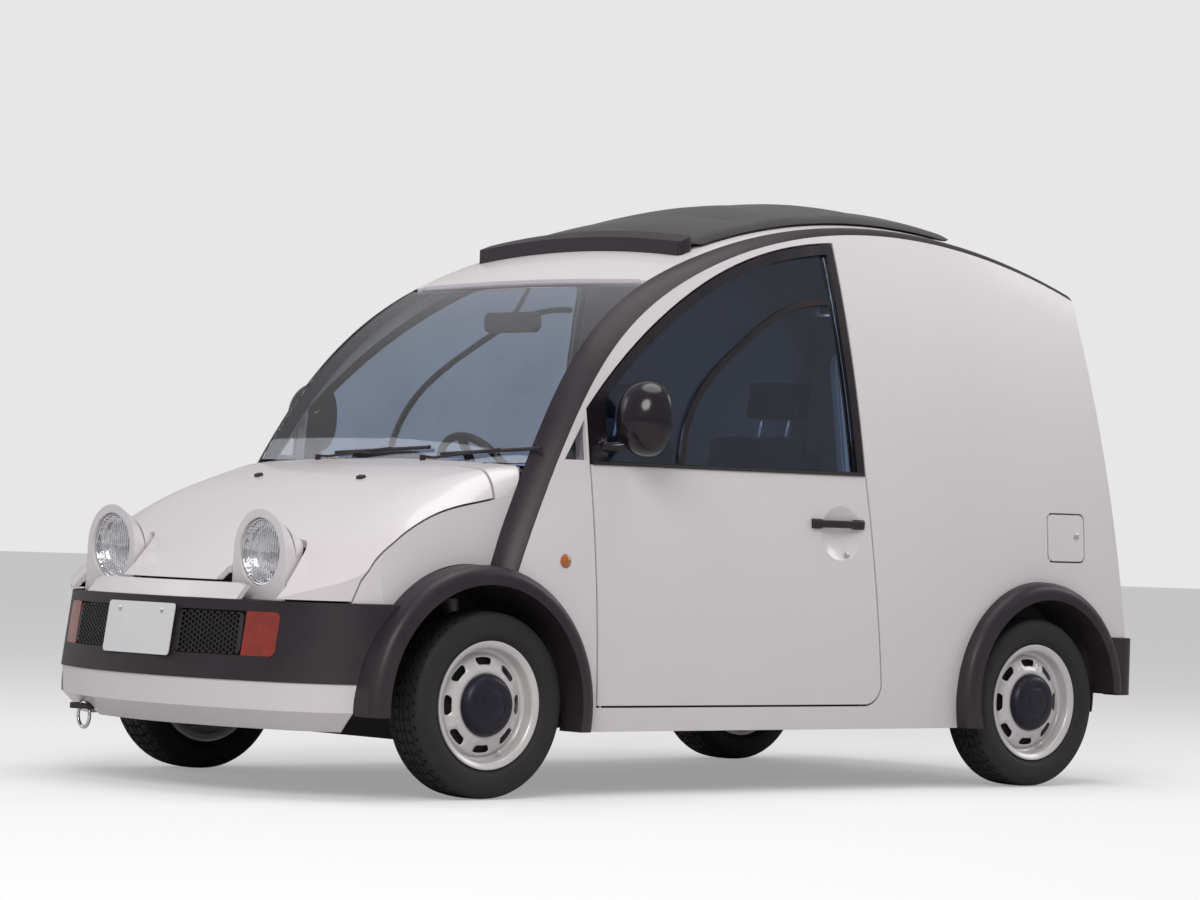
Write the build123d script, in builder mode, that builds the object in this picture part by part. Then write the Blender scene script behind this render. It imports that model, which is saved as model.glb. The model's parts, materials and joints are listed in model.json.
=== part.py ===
import os
from math import asin, atan2, cos, degrees, radians, sin, sqrt

from build123d import *

# A small delivery van, in millimetres. The nose faces -Y, the left side is +X, +Z is up,
# and the origin is on the ground under the middle of the overall box.

# ---- Driving dimensions ----
overall_length = 3480
wheelbase = 2260
front_overhang = 715
nose_end = -overall_length / 2
tail_end = overall_length / 2
front_axle_y = nose_end + front_overhang
rear_axle_y = front_axle_y + wheelbase

# Wheels and tyres
tyre_radius = 270
tyre_width = 155
wheel_track_half = 690
rim_radius = 185
rim_well_radius = 150
rim_width = 134
disc_outset = 34
hub_cap_radius = 91
hub_cap_reach = 80
wheel_slots = 8
spindle_radius = 20
running_fit = 0.05

# Side skin: one large arc seen from the front
body_half_width = 748
side_curve_radius = 4300
widest_height = 500
wall_thickness = 50
sill_bottom = 190
flare_reach = 797.5

# Arch line: the edge that runs from the front wheel over the roof to the tail, in side view
arch_start = (-973, 672)
arch_heading = 68.3
arch_arcs = [(2707, 12.0), (1085, 32.4), (2289, 45.8)]

trim_wide = 52
trim_slim = 22
trim_overlap = 20
trim_stations = 12

# Roof: height of its middle above the arch line, at places along the van
roof_thickness = trim_slim
roof_crown = [
    (-302, 10),
    (-200, 24),
    (-50, 40),
    (150, 55),
    (450, 68),
    (800, 73),
    (1150, 68),
    (1400, 56),
    (1533, 46),
]
screen_base = 970
screen_top = 1525
screen_thickness = 6
canvas_front = -60
canvas_rear = 1080
canvas_half_width = 488
canvas_thickness = 25
canvas_gap = 0.3
seat_gap = 0.3
hatch_margin = 50

# Wheel arches: centre offset from the axle, centre height, outer and inner radius of the flare
front_arch_y = front_axle_y - 35
front_arch_z = 262
front_arch_radius = 410
rear_arch_y = rear_axle_y + 23
rear_arch_z = 290
rear_arch_radius = 366
flare_width = 56

# Tail
tail_top = (1500, 1602)
tail_foot = (1665, 480)
tail_crown = 26
rear_bumper_low = 292
rear_bumper_high = 478

# Doors
door_gap = 6
door_skin = 12
door_step = 20
door_pin_x = 734.5
door_pin_y = -590
door_pin_radius = 4
belt_height = 972
window_frame_width = 30
glass_thickness = 5
glass_inset = 14

# Front end
bumper_low = 327
bumper_high = 553
bumper_lean = 34
bumper_wall = 48
nose_radius = 1327
corner_radius = 394
bumper_half_width = 760
valance_low = 190
panel_thickness = 22
bonnet_gap = 6
bonnet_rear_gap = 8
bonnet_rear = -888
bonnet_hinge_y = -826
bonnet_hinge_z = 944
lamp_x = 373
lamp_z = 690
lamp_setback = 164
lamp_face_y = nose_end + lamp_setback
lamp_lean = 0
lens_radius = 91
pod_radius = 122
seam = 0.5


def side_x(height, inset=0):
    """Half width of the side skin at a height, inset towards the inside."""
    radius = side_curve_radius - inset
    return body_half_width - side_curve_radius + sqrt(radius**2 - (height - widest_height) ** 2)


def arch_place(share):
    """Point and heading of the arch line at a share of its length, in side view."""
    total = sum(radius * radians(turn) for radius, turn in arch_arcs)
    left = share * total
    y, z = arch_start
    heading = radians(arch_heading)
    for radius, turn in arch_arcs:
        centre_y = y + radius * sin(heading)
        centre_z = z - radius * cos(heading)
        step = min(left / radius, radians(turn))
        heading -= step
        left -= step * radius
        y = centre_y - radius * sin(heading)
        z = centre_z + radius * cos(heading)
        if left <= 1e-6:
            break
    return y, z, heading


def arch_share(wanted, which=0):
    """Share of the arch line at a place along the van (which 0) or, on its front half, a height (which 1)."""
    low, high = 0.0, 1.0 if which == 0 else 0.6
    for _ in range(50):
        middle = (low + high) / 2
        if arch_place(middle)[which] < wanted:
            low = middle
        else:
            high = middle
    return low


def trim_width(share):
    """Width of the dark corner trim in side view: wide on the windscreen pillar, slim over the roof."""
    return trim_slim + (trim_wide - trim_slim) / (1 + (share / 0.42) ** 6)


def roof_edge_x(share):
    """Half width of the roof and windscreen, where the corner trim begins."""
    return side_x(arch_place(share)[1]) - trim_width(share) - trim_overlap


def trim_foot(share, gap=0):
    """Lower edge of the trim, in side view, or a line a gap below it."""
    y, z, heading = arch_place(share)
    width = trim_width(share) + gap
    return y + width * sin(heading), z - width * cos(heading)


def side_band(inset, thickness, low, high):
    """Face between two arcs that follow the side skin, drawn in a sketch seen from the front."""
    middle = (low + high) / 2
    inner = inset + thickness
    with BuildSketch() as profile:
        with BuildLine():
            ThreePointArc(
                (side_x(low, inset), low), (side_x(middle, inset), middle), (side_x(high, inset), high)
            )
            Line((side_x(high, inset), high), (side_x(high, inner), high))
            ThreePointArc(
                (side_x(high, inner), high), (side_x(middle, inner), middle), (side_x(low, inner), low)
            )
            Line((side_x(low, inner), low), (side_x(low, inset), low))
        make_face()
    return profile.sketch


def arch_path(first, last, steps, inset=0):
    """Points along the arch line between two shares of its length, moved inwards by an inset."""
    points = []
    for step in range(steps + 1):
        y, z, heading = arch_place(first + (last - first) * step / steps)
        points.append((y + inset * sin(heading), z - inset * cos(heading)))
    return points


def nose_outline(front, side, nose, corner, back, facing=1):
    """Plan outline of an end of the van: one wide arc, two corner arcs and a straight back edge."""
    corner_x = side - corner
    corner_y = front + nose - sqrt((nose - corner) ** 2 - corner_x**2)
    reach = nose / (nose - corner)
    meet_x = corner_x * reach
    meet_y = front + nose + (corner_y - front - nose) * reach
    first = atan2(meet_y - corner_y, meet_x - corner_x)
    last = min(0, asin(min(1, (back - corner_y) / corner)))
    middle = (first + last) / 2
    half = [
        (corner_x + corner * cos(middle), corner_y + corner * sin(middle)),
        (corner_x + corner * cos(last), corner_y + corner * sin(last)),
    ]
    with BuildSketch() as profile:
        with BuildLine():
            ThreePointArc((-meet_x, facing * meet_y), (0, facing * front), (meet_x, facing * meet_y))
            for sign in (1, -1):
                ThreePointArc(
                    (sign * meet_x, facing * meet_y),
                    (sign * half[0][0], facing * half[0][1]),
                    (sign * half[1][0], facing * half[1][1]),
                )
                if back > half[1][1] + seam:
                    Line((sign * half[1][0], facing * half[1][1]), (sign * half[1][0], facing * back))
            Line((half[1][0], facing * back), (-half[1][0], facing * back))
        make_face()
    return profile.sketch


def rod(start, end, radius):
    """Round bar between two points."""
    run = Vector(*end) - Vector(*start)
    with BuildPart() as bar:
        with BuildSketch(Plane(origin=start, z_dir=run)):
            Circle(radius)
        extrude(amount=run.length)
    return bar.part


def cap_middle(radius, height):
    """Radius and drop of the point halfway along a spherical cap of a radius and a height."""
    sphere = (radius**2 + height**2) / (2 * height)
    turn = asin(radius / sphere) / 2
    return sphere * sin(turn), sphere * (1 - cos(turn))


# ---- Tools that trim the body ----
# The crowned tail surface leans forward from the bumper to the roof.
tail_plane = Plane(
    origin=(0, tail_foot[0], tail_foot[1]),
    x_dir=(1, 0, 0),
    z_dir=(0, tail_top[0] - tail_foot[0], tail_top[1] - tail_foot[1]),
)
tail_half = body_half_width + 12
tailgate_thickness = 42
section_top = 1760


def tail_form(inset):
    """Everything ahead of the crowned tail surface, moved forward by an inset."""
    with BuildPart() as block:
        with BuildSketch(tail_plane):
            with BuildLine():
                ThreePointArc((-tail_half, -inset), (0, tail_crown - inset), (tail_half, -inset))
                Polyline(
                    (tail_half, -inset),
                    (tail_half, -overall_length),
                    (-tail_half, -overall_length),
                    (-tail_half, -inset),
                )
            make_face()
        extrude(amount=overall_length / 2, both=True)
    return block.part


def inside_walls(inset):
    """The space between the two side skins, moved inwards by an inset."""
    with BuildPart() as space:
        with BuildSketch(Plane.XZ.offset(-tail_end)):
            with BuildLine():
                for sign in (1, -1):
                    ThreePointArc(
                        (sign * side_x(sill_bottom, inset), sill_bottom),
                        (sign * side_x(widest_height, inset), widest_height),
                        (sign * side_x(section_top, inset), section_top),
                    )
                for level in (sill_bottom, section_top):
                    Line((-side_x(level, inset), level), (side_x(level, inset), level))
            make_face()
        extrude(amount=overall_length)
    return space.part


tail_block = tail_form(0)
tail_core = tail_form(tailgate_thickness)
cabin_space = inside_walls(wall_thickness)

# ---- Doors ----
door_foot_front = (-605, 266)
door_belt_front = (-641, belt_height)
door_frame_front = (-643, 1134)
door_frame_rise = (-369, 1382)
door_frame_knee = (-126, 1533)
door_frame_rear = (442, 1693)
door_belt_rear = (478, 985)
door_rear_bulge = (513, 660)
door_rear_low = (553, 330)
door_corner = (535, 284)
door_foot_rear = (492, 266)


def door_outline():
    """Outline of the whole door, in a sketch seen from the side."""
    with BuildSketch() as profile:
        with BuildLine():
            Polyline(door_foot_rear, door_foot_front, door_belt_front, door_frame_front)
            rise = ThreePointArc(door_frame_front, door_frame_rise, door_frame_knee)
            TangentArc(rise @ 1, door_frame_rear, tangent=rise % 1)
            Line(door_frame_rear, door_belt_rear)
            ThreePointArc(door_belt_rear, door_rear_bulge, door_rear_low)
            ThreePointArc(door_rear_low, door_corner, door_foot_rear)
        make_face()
    return profile.sketch


# ---- Body sides ----
side_front = -960
tail_run = 40
fuel_lid_y = (1298, 1465)
fuel_lid_z = (725, 875)
fuel_lid_thickness = 8
fuel_lid_gap = 5
fuel_lid_corner = 22
fuel_pocket_depth = 32
fuel_pin_radius = 2.5
fuel_pin_length = 12
fuel_pin_depth = fuel_lid_thickness / 2
fuel_pin_y = fuel_lid_y[0] + 6
quarter_points = [(-742, 984), (-657, 1106), (-657, 984)]
sill_pin_depth = 30


def fuel_pin(radius, spare):
    """The fuel lid's hinge pin, leaned with the skin and longer than the lid at both ends."""
    low = Vector(side_x(fuel_lid_z[0]) - fuel_pin_depth, fuel_pin_y, fuel_lid_z[0])
    high = Vector(side_x(fuel_lid_z[1]) - fuel_pin_depth, fuel_pin_y, fuel_lid_z[1])
    reach = (high - low).normalized() * spare
    return rod(tuple(low - reach), tuple(high + reach), radius)


finished = []


def keep(part, name):
    """Label a finished piece and write its STEP file."""
    part.label = name
    finished.append(part)
    export_step(part, f"parts/{name}.step")


os.makedirs("parts", exist_ok=True)

with BuildPart() as body_side_left:
    with BuildSketch(Plane.XZ.offset(-tail_end)):
        add(side_band(0, wall_thickness, sill_bottom, section_top))
    extrude(amount=tail_end - side_front)
    # the outline in side view, below the corner trim
    with BuildSketch(Plane.YZ):
        foot_line = [trim_foot(step / trim_stations, seat_gap) for step in range(trim_stations + 1)]
        with BuildLine():
            Spline(*foot_line)
            Polyline(
                foot_line[-1],
                (tail_end, foot_line[-1][1] - tail_run),
                (tail_end, sill_bottom),
                (foot_line[0][0], sill_bottom),
                foot_line[0],
            )
        make_face()
    extrude(amount=flare_reach, mode=Mode.INTERSECT)
    add(tail_block, mode=Mode.INTERSECT)
    # wheel arches, the space of the rear bumper, the door opening and the quarter window
    with BuildSketch(Plane.YZ):
        with Locations((front_arch_y, front_arch_z)):
            Circle(front_arch_radius)
        with Locations((rear_arch_y, rear_arch_z)):
            Circle(rear_arch_radius)
        with Locations((tail_end, sill_bottom)):
            Rectangle(2 * (tail_end - rear_arch_y), 2 * (tail_foot[1] - sill_bottom))
    extrude(amount=flare_reach, mode=Mode.SUBTRACT)
    with BuildSketch(Plane.YZ):
        add(door_outline())
        offset(amount=door_gap)
    extrude(amount=flare_reach, mode=Mode.SUBTRACT)
    with BuildSketch(Plane.YZ):
        Polygon(*quarter_points, align=None)
    extrude(amount=flare_reach, mode=Mode.SUBTRACT)
    # pocket behind the fuel lid, with the holes of its hinge pin
    with BuildSketch(Plane.YZ.offset(side_x(fuel_lid_z[0]) - fuel_pocket_depth)) as fuel_pocket:
        with Locations(((fuel_lid_y[0] + fuel_lid_y[1]) / 2, (fuel_lid_z[0] + fuel_lid_z[1]) / 2)):
            RectangleRounded(
                fuel_lid_y[1] - fuel_lid_y[0] + 2 * fuel_lid_gap,
                fuel_lid_z[1] - fuel_lid_z[0] + 2 * fuel_lid_gap,
                fuel_lid_corner,
            )
    extrude(amount=wall_thickness, mode=Mode.SUBTRACT)
    add(fuel_pin(fuel_pin_radius + running_fit, fuel_pin_length + 1), mode=Mode.SUBTRACT)
    # hole in the sill for the door's lower hinge pin
    with Locations(Plane.XY.offset(door_foot_front[1] - door_gap - sill_pin_depth)):
        with Locations((door_pin_x, door_pin_y)):
            Cylinder(
                door_pin_radius + running_fit,
                sill_pin_depth + door_gap,
                align=(Align.CENTER, Align.CENTER, Align.MIN),
                mode=Mode.SUBTRACT,
            )
keep(body_side_left.part, "body_side_left")

with BuildPart() as body_side_right:
    mirror(body_side_left.part, about=Plane.YZ)
keep(body_side_right.part, "body_side_right")

# ---- Dark corner trims, from the front wheels over the roof to the tail ----
trim_bulge = 5
with BuildPart() as trim_left:
    for step in range(trim_stations + 1):
        place_y, place_z, heading = arch_place(step / trim_stations)
        width = trim_width(step / trim_stations)
        inner_x = roof_edge_x(step / trim_stations)
        outer_x = side_x(place_z - width * cos(heading))
        section_plane = Plane(
            origin=(0, place_y, place_z), x_dir=(1, 0, 0), z_dir=(0, -cos(heading), -sin(heading))
        )
        with BuildSketch(section_plane):
            with BuildLine():
                ThreePointArc(
                    (inner_x, 0),
                    ((inner_x + outer_x) / 2 + trim_bulge, trim_bulge - width / 2),
                    (outer_x, -width),
                )
                Polyline((outer_x, -width), (inner_x, -width), (inner_x, 0))
            make_face()
    loft()
    add(tail_block, mode=Mode.INTERSECT)
    add(body_side_left.part, mode=Mode.SUBTRACT)


def crowned_sections(rise, thickness):
    """Sections of a crowned sheet that follows the roof, raised above it, one at each place along the van."""
    sections = []
    for place_y, crown in roof_crown:
        share = arch_share(place_y)
        width = roof_edge_x(share) - seam
        low = arch_place(share)[1] + rise
        high = low + thickness
        with BuildSketch(Plane.XZ.offset(-place_y)) as section:
            with BuildLine():
                ThreePointArc((-width, low), (0, low + crown), (width, low))
                Line((width, low), (width, high))
                ThreePointArc((width, high), (0, high + crown), (-width, high))
                Line((-width, high), (-width, low))
            make_face()
        sections.append(section.sketch)
    return sections


# ---- Roof, with the hatch under its folding top ----
tailgate_top = 1546
hinge_lug_x = 400
hinge_lug_width = 26
hinge_pin_radius = 5
hinge_lug_reach = 13
tailgate_pin_z = tailgate_top - hinge_lug_reach
tail_slope = (tail_foot[0] - tail_top[0]) / (tail_top[1] - tail_foot[1])


def tail_y(height):
    """Place of the tail surface's corners at a height."""
    return tail_foot[0] - (height - tail_foot[1]) * tail_slope


tailgate_pin_y = tail_y(tailgate_pin_z) + tail_crown - hinge_lug_reach
header_gap = 8
header_low = tailgate_top + header_gap
header_height = 34
canvas_middle = (canvas_front + canvas_rear) / 2
canvas_corner = 40
with BuildPart() as roof_panel:
    for section in crowned_sections(-roof_thickness, roof_thickness):
        add(section)
    loft()
    # rear header between the roof and the tailgate
    with BuildSketch(Plane.YZ):
        Polygon(
            (tail_y(header_low) - tailgate_thickness, header_low),
            (tail_y(header_low) + tail_crown, header_low),
            (tail_y(header_low) + tail_crown, header_low + header_height),
            (tail_y(header_low) - tailgate_thickness, header_low + header_height),
            align=None,
        )
    extrude(amount=roof_edge_x(1) - wall_thickness / 2, both=True)
    add(tail_block, mode=Mode.INTERSECT)
    # the hatch
    with BuildSketch(Plane.XY.offset(sill_bottom)):
        with Locations((0, canvas_middle)):
            RectangleRounded(
                2 * (canvas_half_width - hatch_margin),
                canvas_rear - canvas_front - 2 * hatch_margin,
                hatch_margin,
            )
    extrude(amount=tail_end, mode=Mode.SUBTRACT)
    # hinge lugs of the tailgate
    for sign in (1, -1):
        with BuildSketch(Plane.YZ.offset(sign * hinge_lug_x)):
            with Locations((tailgate_pin_y, tailgate_pin_z)):
                Circle(hinge_lug_reach)
            with Locations((tailgate_pin_y, (tailgate_pin_z + header_low + hinge_lug_reach) / 2)):
                Rectangle(2 * hinge_lug_reach, header_low + hinge_lug_reach - tailgate_pin_z)
            with Locations((tailgate_pin_y, tailgate_pin_z)):
                Circle(hinge_pin_radius + running_fit, mode=Mode.SUBTRACT)
        extrude(amount=hinge_lug_width / 2, both=True)
keep(roof_panel.part, "roof_panel")

with BuildPart() as canvas_top:
    for section in crowned_sections(canvas_gap, canvas_thickness):
        add(section)
    loft()
    with BuildSketch(Plane.XY.offset(widest_height)):
        with Locations((0, canvas_middle)):
            RectangleRounded(2 * canvas_half_width, canvas_rear - canvas_front, canvas_corner)
    extrude(amount=tail_end, mode=Mode.INTERSECT)
keep(canvas_top.part, "canvas_top")

# ---- Windscreen ----
pane_seam = 1.6
screen_steps = 6
screen_shares = (arch_share(screen_base, 1), arch_share(screen_top, 1))
with BuildPart() as windscreen:
    outer_line = arch_path(screen_shares[0], screen_shares[1], screen_steps, pane_seam)
    inner_line = arch_path(
        screen_shares[0], screen_shares[1], screen_steps, pane_seam + screen_thickness
    )
    with BuildSketch(Plane.YZ):
        with BuildLine():
            Spline(*outer_line)
            Line(outer_line[-1], inner_line[-1])
            Spline(*inner_line)
            Line(inner_line[0], outer_line[0])
        make_face()
    extrude(amount=body_half_width, both=True)
    with BuildSketch(Plane.XZ):
        edge_line = []
        for step in range(screen_steps + 1):
            share = screen_shares[0] + (screen_shares[1] - screen_shares[0]) * step / screen_steps
            edge_line.append((roof_edge_x(share) - pane_seam, arch_place(share)[1]))
        margin = 2 * wall_thickness
        edge_line = [(edge_line[0][0], edge_line[0][1] - margin)] + edge_line
        edge_line = edge_line + [(edge_line[-1][0], edge_line[-1][1] + margin)]
        Polygon(*edge_line, *[(-x, z) for x, z in reversed(edge_line)], align=None)
    extrude(amount=tail_end, both=True, mode=Mode.INTERSECT)

with BuildPart() as quarter_glass:
    with BuildSketch(Plane.XZ.offset(-tail_end)):
        add(side_band(glass_inset, glass_thickness, belt_height, door_frame_rise[1]))
    extrude(amount=tail_end - side_front)
    with BuildSketch(Plane.YZ):
        Polygon(*quarter_points, align=None)
    extrude(amount=flare_reach, mode=Mode.INTERSECT)

with BuildPart() as fixed_glass:
    add(windscreen.part)
    add(quarter_glass.part)
    mirror(quarter_glass.part, about=Plane.YZ)
keep(fixed_glass.part, "fixed_glass")

# rail across the front of the folding top
rail_depth = 52
rail_front = canvas_front - rail_depth
rail_height = 44
rail_corner = 12
with BuildPart() as canvas_rail:
    for section in crowned_sections(seam, rail_height):
        add(section)
    loft()
    with BuildSketch(Plane.XY.offset(widest_height)):
        with Locations((0, (rail_front + canvas_front) / 2)):
            RectangleRounded(2 * canvas_half_width, canvas_front - rail_front - canvas_gap, rail_corner)
    extrude(amount=tail_end, mode=Mode.INTERSECT)
keep(canvas_rail.part, "canvas_rail")

# ---- Front end: a lofted form, cut by the nose outline and made into shells ----
# place along the van, half width at the foot, crease (x, z), shoulder (x, z), height of the middle
nose_stations = [
    (-800, 690, 654, 928, 612, 972, 983),
    (-900, 690, 662, 880, 588, 954, 966),
    (-1000, 692, 670, 857, 550, 933, 949),
    (-1130, 702, 682, 832, 510, 897, 915),
    (-1250, 710, 694, 789, 500, 847, 863),
    (-1350, 716, 702, 729, 500, 785, 808),
    (-1450, 720, 706, 618, 500, 712, 748),
    (-1550, 722, 712, 530, 500, 628, 680),
    (-1640, 722, 716, 470, 500, 536, 606),
    (-1740, 722, 718, 430, 500, 440, 500),
]
form_foot = 400
nose_front = -1692
nose_half_width = 722
nose_curve = 1800
nose_corner = 350
nose_back = -780


def front_sections(inset):
    """Sections of the front end, moved inwards by an inset."""
    sections = []
    for place_y, foot_x, crease_x, crease_z, shoulder_x, shoulder_z, middle_z in nose_stations:
        foot = (foot_x - inset, form_foot)
        crease = (crease_x - inset, crease_z - inset / 2)
        shoulder = (shoulder_x - inset / 2, shoulder_z - inset)
        with BuildSketch(Plane.XZ.offset(-place_y)) as section:
            with BuildLine():
                crown = ThreePointArc((-shoulder[0], shoulder[1]), (0, middle_z - inset), shoulder)
                TangentArc(shoulder, crease, tangent=crown % 1)
                Line(crease, foot)
                Line(foot, (-foot[0], foot[1]))
                Line((-foot[0], foot[1]), (-crease[0], crease[1]))
                TangentArc((-shoulder[0], shoulder[1]), (-crease[0], crease[1]), tangent=-(crown % 0))
            make_face()
        sections.append(section.sketch)
    return sections


def nose_prism(inset):
    """Plan outline of the white nose above the bumper."""
    return nose_outline(
        nose_front + inset, nose_half_width - inset, nose_curve - inset, nose_corner - inset, nose_back
    )


with BuildPart() as front_outer:
    for section in front_sections(0):
        add(section)
    loft()
    with BuildSketch(Plane.XY.offset(bumper_high + seam)):
        add(nose_prism(0))
    extrude(amount=bumper_high, mode=Mode.INTERSECT)

with BuildPart() as front_inner:
    for section in front_sections(panel_thickness):
        add(section)
    loft()
    with BuildSketch(Plane.XY.offset(form_foot)):
        add(nose_prism(panel_thickness))
    extrude(amount=tail_end, mode=Mode.INTERSECT)

# what lies ahead of the corner trims and of the windscreen
screen_overrun = 0.04
with BuildPart() as ahead_of_screen:
    with BuildSketch(Plane.YZ):
        arch_line = arch_path(0, screen_shares[0] + screen_overrun, 8, -seam)
        with BuildLine():
            Spline(*arch_line)
            Polyline(
                arch_line[-1], (nose_end, arch_line[-1][1]), (nose_end, form_foot),
                (arch_line[0][0], form_foot), arch_line[0],
            )
        make_face()
    extrude(amount=body_half_width, both=True)

with BuildPart() as front_shell:
    add(front_outer.part)
    add(front_inner.part, mode=Mode.SUBTRACT)
    add(ahead_of_screen.part, mode=Mode.INTERSECT)
    with BuildSketch(Plane.YZ):
        with Locations((front_arch_y, front_arch_z)):
            Circle(front_arch_radius)
    extrude(amount=body_half_width, both=True, mode=Mode.SUBTRACT)

# ---- Bonnet, cut from the shell above the crease and ahead of the cowl ----
pod_half_width = 132
pod_offset = 0
pod_inner_x = lamp_x + pod_offset - pod_half_width
pod_outer_x = lamp_x + pod_offset + pod_half_width
pod_reach = 286
pod_tip_y = nose_end + pod_reach
pod_tip_z = 734
strip_high = 600
strip_lean = 38
strip_thickness = 20
bonnet_corner = 90
bonnet_side_x = 690
bonnet_side_y = -968
notch_gap = 8


def offset_line(points, gap):
    """Points moved to the lower side of the line that they make."""
    moved = []
    for index, (y, z) in enumerate(points):
        before = points[max(index - 1, 0)]
        after = points[min(index + 1, len(points) - 1)]
        run = after[0] - before[0]
        rise = after[1] - before[1]
        length = sqrt(run**2 + rise**2)
        moved.append((y - gap * rise / length, z + gap * run / length))
    return moved


def bonnet_cut(gap, rear_gap):
    """Block that separates the bonnet from the fenders and cowl, made larger by two gaps."""
    with BuildPart() as block:
        with BuildSketch(Plane.YZ):
            shut_line = offset_line([(station[0], station[3]) for station in nose_stations[1:7]], gap)
            with BuildLine():
                Spline(*shut_line)
                Polyline(
                    shut_line[-1],
                    (shut_line[-1][0] - bonnet_corner / 3, bumper_high - panel_thickness),
                    (nose_end, bumper_high - panel_thickness),
                    (nose_end, tail_end),
                    (shut_line[0][0] + bonnet_corner, tail_end),
                    (shut_line[0][0] + bonnet_corner, shut_line[0][1]),
                    shut_line[0],
                )
            make_face()
        extrude(amount=body_half_width, both=True)
        with BuildSketch(Plane.XY.offset(form_foot)):
            with BuildLine():
                ThreePointArc(
                    (-bonnet_side_x, bonnet_side_y + rear_gap),
                    (0, bonnet_rear + rear_gap),
                    (bonnet_side_x, bonnet_side_y + rear_gap),
                )
                Polyline(
                    (bonnet_side_x, bonnet_side_y + rear_gap),
                    (body_half_width, bonnet_side_y + rear_gap),
                    (body_half_width, nose_end),
                    (-body_half_width, nose_end),
                    (-body_half_width, bonnet_side_y + rear_gap),
                    (-bonnet_side_x, bonnet_side_y + rear_gap),
                )
            make_face()
        extrude(amount=tail_end, mode=Mode.INTERSECT)
    return block.part


# the two lamp pods that stand on the nose
pod_middle_x = (pod_inner_x + pod_outer_x) / 2
pod_plane = Plane(
    origin=(pod_middle_x, lamp_face_y, lamp_z), x_dir=(1, 0, 0),
    z_dir=(0, -cos(radians(lamp_lean)), sin(radians(lamp_lean))),
)
lamp_plane = Plane(
    origin=(lamp_x, lamp_face_y, lamp_z), x_dir=(1, 0, 0),
    z_dir=(0, -cos(radians(lamp_lean)), sin(radians(lamp_lean))),
)
pod_sink = 40
pod_foot = lamp_z - bumper_high + pod_sink
pod_tip_radius = 70
pod_foot_half = 120
lamp_bore_depth = 58
bowl_clearance = 6


def pod_form(gap, reach=0):
    """Tapered fairing from the lamp ring back to its tip on the bonnet, larger by a gap."""
    tip_centre = pod_tip_z - pod_tip_radius - lamp_z
    with BuildPart() as form:
        with BuildSketch(pod_plane):
            with BuildLine():
                Polyline(
                    (-pod_radius - gap, 0),
                    (-pod_half_width - gap, -pod_foot),
                    (pod_half_width + gap, -pod_foot),
                    (pod_radius + gap, 0),
                )
                ThreePointArc((pod_radius + gap, 0), (0, pod_radius + gap), (-pod_radius - gap, 0))
            make_face()
        tip_origin = (pod_middle_x, pod_tip_y + gap, lamp_z)
        with BuildSketch(Plane(origin=tip_origin, x_dir=(1, 0, 0), z_dir=(0, -1, 0))):
            with BuildLine():
                Polyline(
                    (-pod_tip_radius - gap, tip_centre),
                    (-pod_foot_half - gap, -pod_foot),
                    (pod_foot_half + gap, -pod_foot),
                    (pod_tip_radius + gap, tip_centre),
                )
                ThreePointArc(
                    (pod_tip_radius + gap, tip_centre),
                    (0, tip_centre + pod_tip_radius + gap),
                    (-pod_tip_radius - gap, tip_centre),
                )
            make_face()
        loft(ruled=True)
        if reach:
            with BuildSketch(pod_plane):
                Rectangle(2 * (pod_half_width + gap), 2 * pod_foot)
            extrude(amount=reach)
    return form.part


pod_slope = 0.66
with BuildPart() as pod_left:
    add(pod_form(0))
    # the underside follows the bonnet's slope, down to the bumper
    with BuildSketch(Plane.YZ):
        Polygon(
            (pod_tip_y, pod_tip_z - bonnet_gap),
            (pod_tip_y - (pod_tip_z - bumper_high) * pod_slope, bumper_high + seam),
            (nose_end, bumper_high + seam),
            (nose_end, tail_end),
            (pod_tip_y, tail_end),
            align=None,
        )
    extrude(amount=body_half_width, mode=Mode.INTERSECT)

hinge_lug_thickness = 10
bonnet_lug_x = 470
bonnet_pin_radius = 6
bonnet_pin_length = 22
bonnet_lug_radius = 12
# outline of a hinge arm, from the pin forwards
bonnet_arm = [(-139, -6), (-139, -29), (-74, -22), (0, -bonnet_lug_radius), (0, bonnet_lug_radius), (-74, 6)]
pod_notch_reach = 130
with BuildPart() as bonnet:
    add(front_shell.part)
    add(bonnet_cut(0, 0), mode=Mode.INTERSECT)
    # notches round the lamp pods, and the badge strip between them
    add(pod_form(notch_gap, pod_notch_reach), mode=Mode.SUBTRACT)
    mirror(pod_form(notch_gap, pod_notch_reach), about=Plane.YZ, mode=Mode.SUBTRACT)
    with BuildSketch(Plane.YZ):
        with Locations(((nose_end + pod_tip_y) / 2, (form_foot + strip_high + bonnet_gap) / 2)):
            Rectangle(pod_tip_y - nose_end, strip_high + bonnet_gap - form_foot)
    extrude(amount=pod_inner_x, both=True, mode=Mode.SUBTRACT)
    # a gap of its own along the bumper
    with BuildSketch(Plane.XY.offset(bumper_high)):
        Rectangle(2 * body_half_width, 2 * overall_length)
    extrude(amount=bonnet_gap, mode=Mode.SUBTRACT)
    # hinge arms that reach back through slots in the cowl, each with its pin
    for sign in (1, -1):
        with BuildSketch(Plane.YZ.offset(sign * bonnet_lug_x)):
            Polygon(*[(bonnet_hinge_y + y, bonnet_hinge_z + z) for y, z in bonnet_arm], align=None)
            with Locations((bonnet_hinge_y, bonnet_hinge_z)):
                Circle(bonnet_lug_radius)
        extrude(amount=hinge_lug_thickness / 2, both=True)
        with Locations(Plane.YZ.offset(sign * bonnet_lug_x)):
            with Locations((bonnet_hinge_y, bonnet_hinge_z)):
                Cylinder(bonnet_pin_radius, 2 * bonnet_pin_length + hinge_lug_thickness)
keep(bonnet.part, "bonnet")

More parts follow.
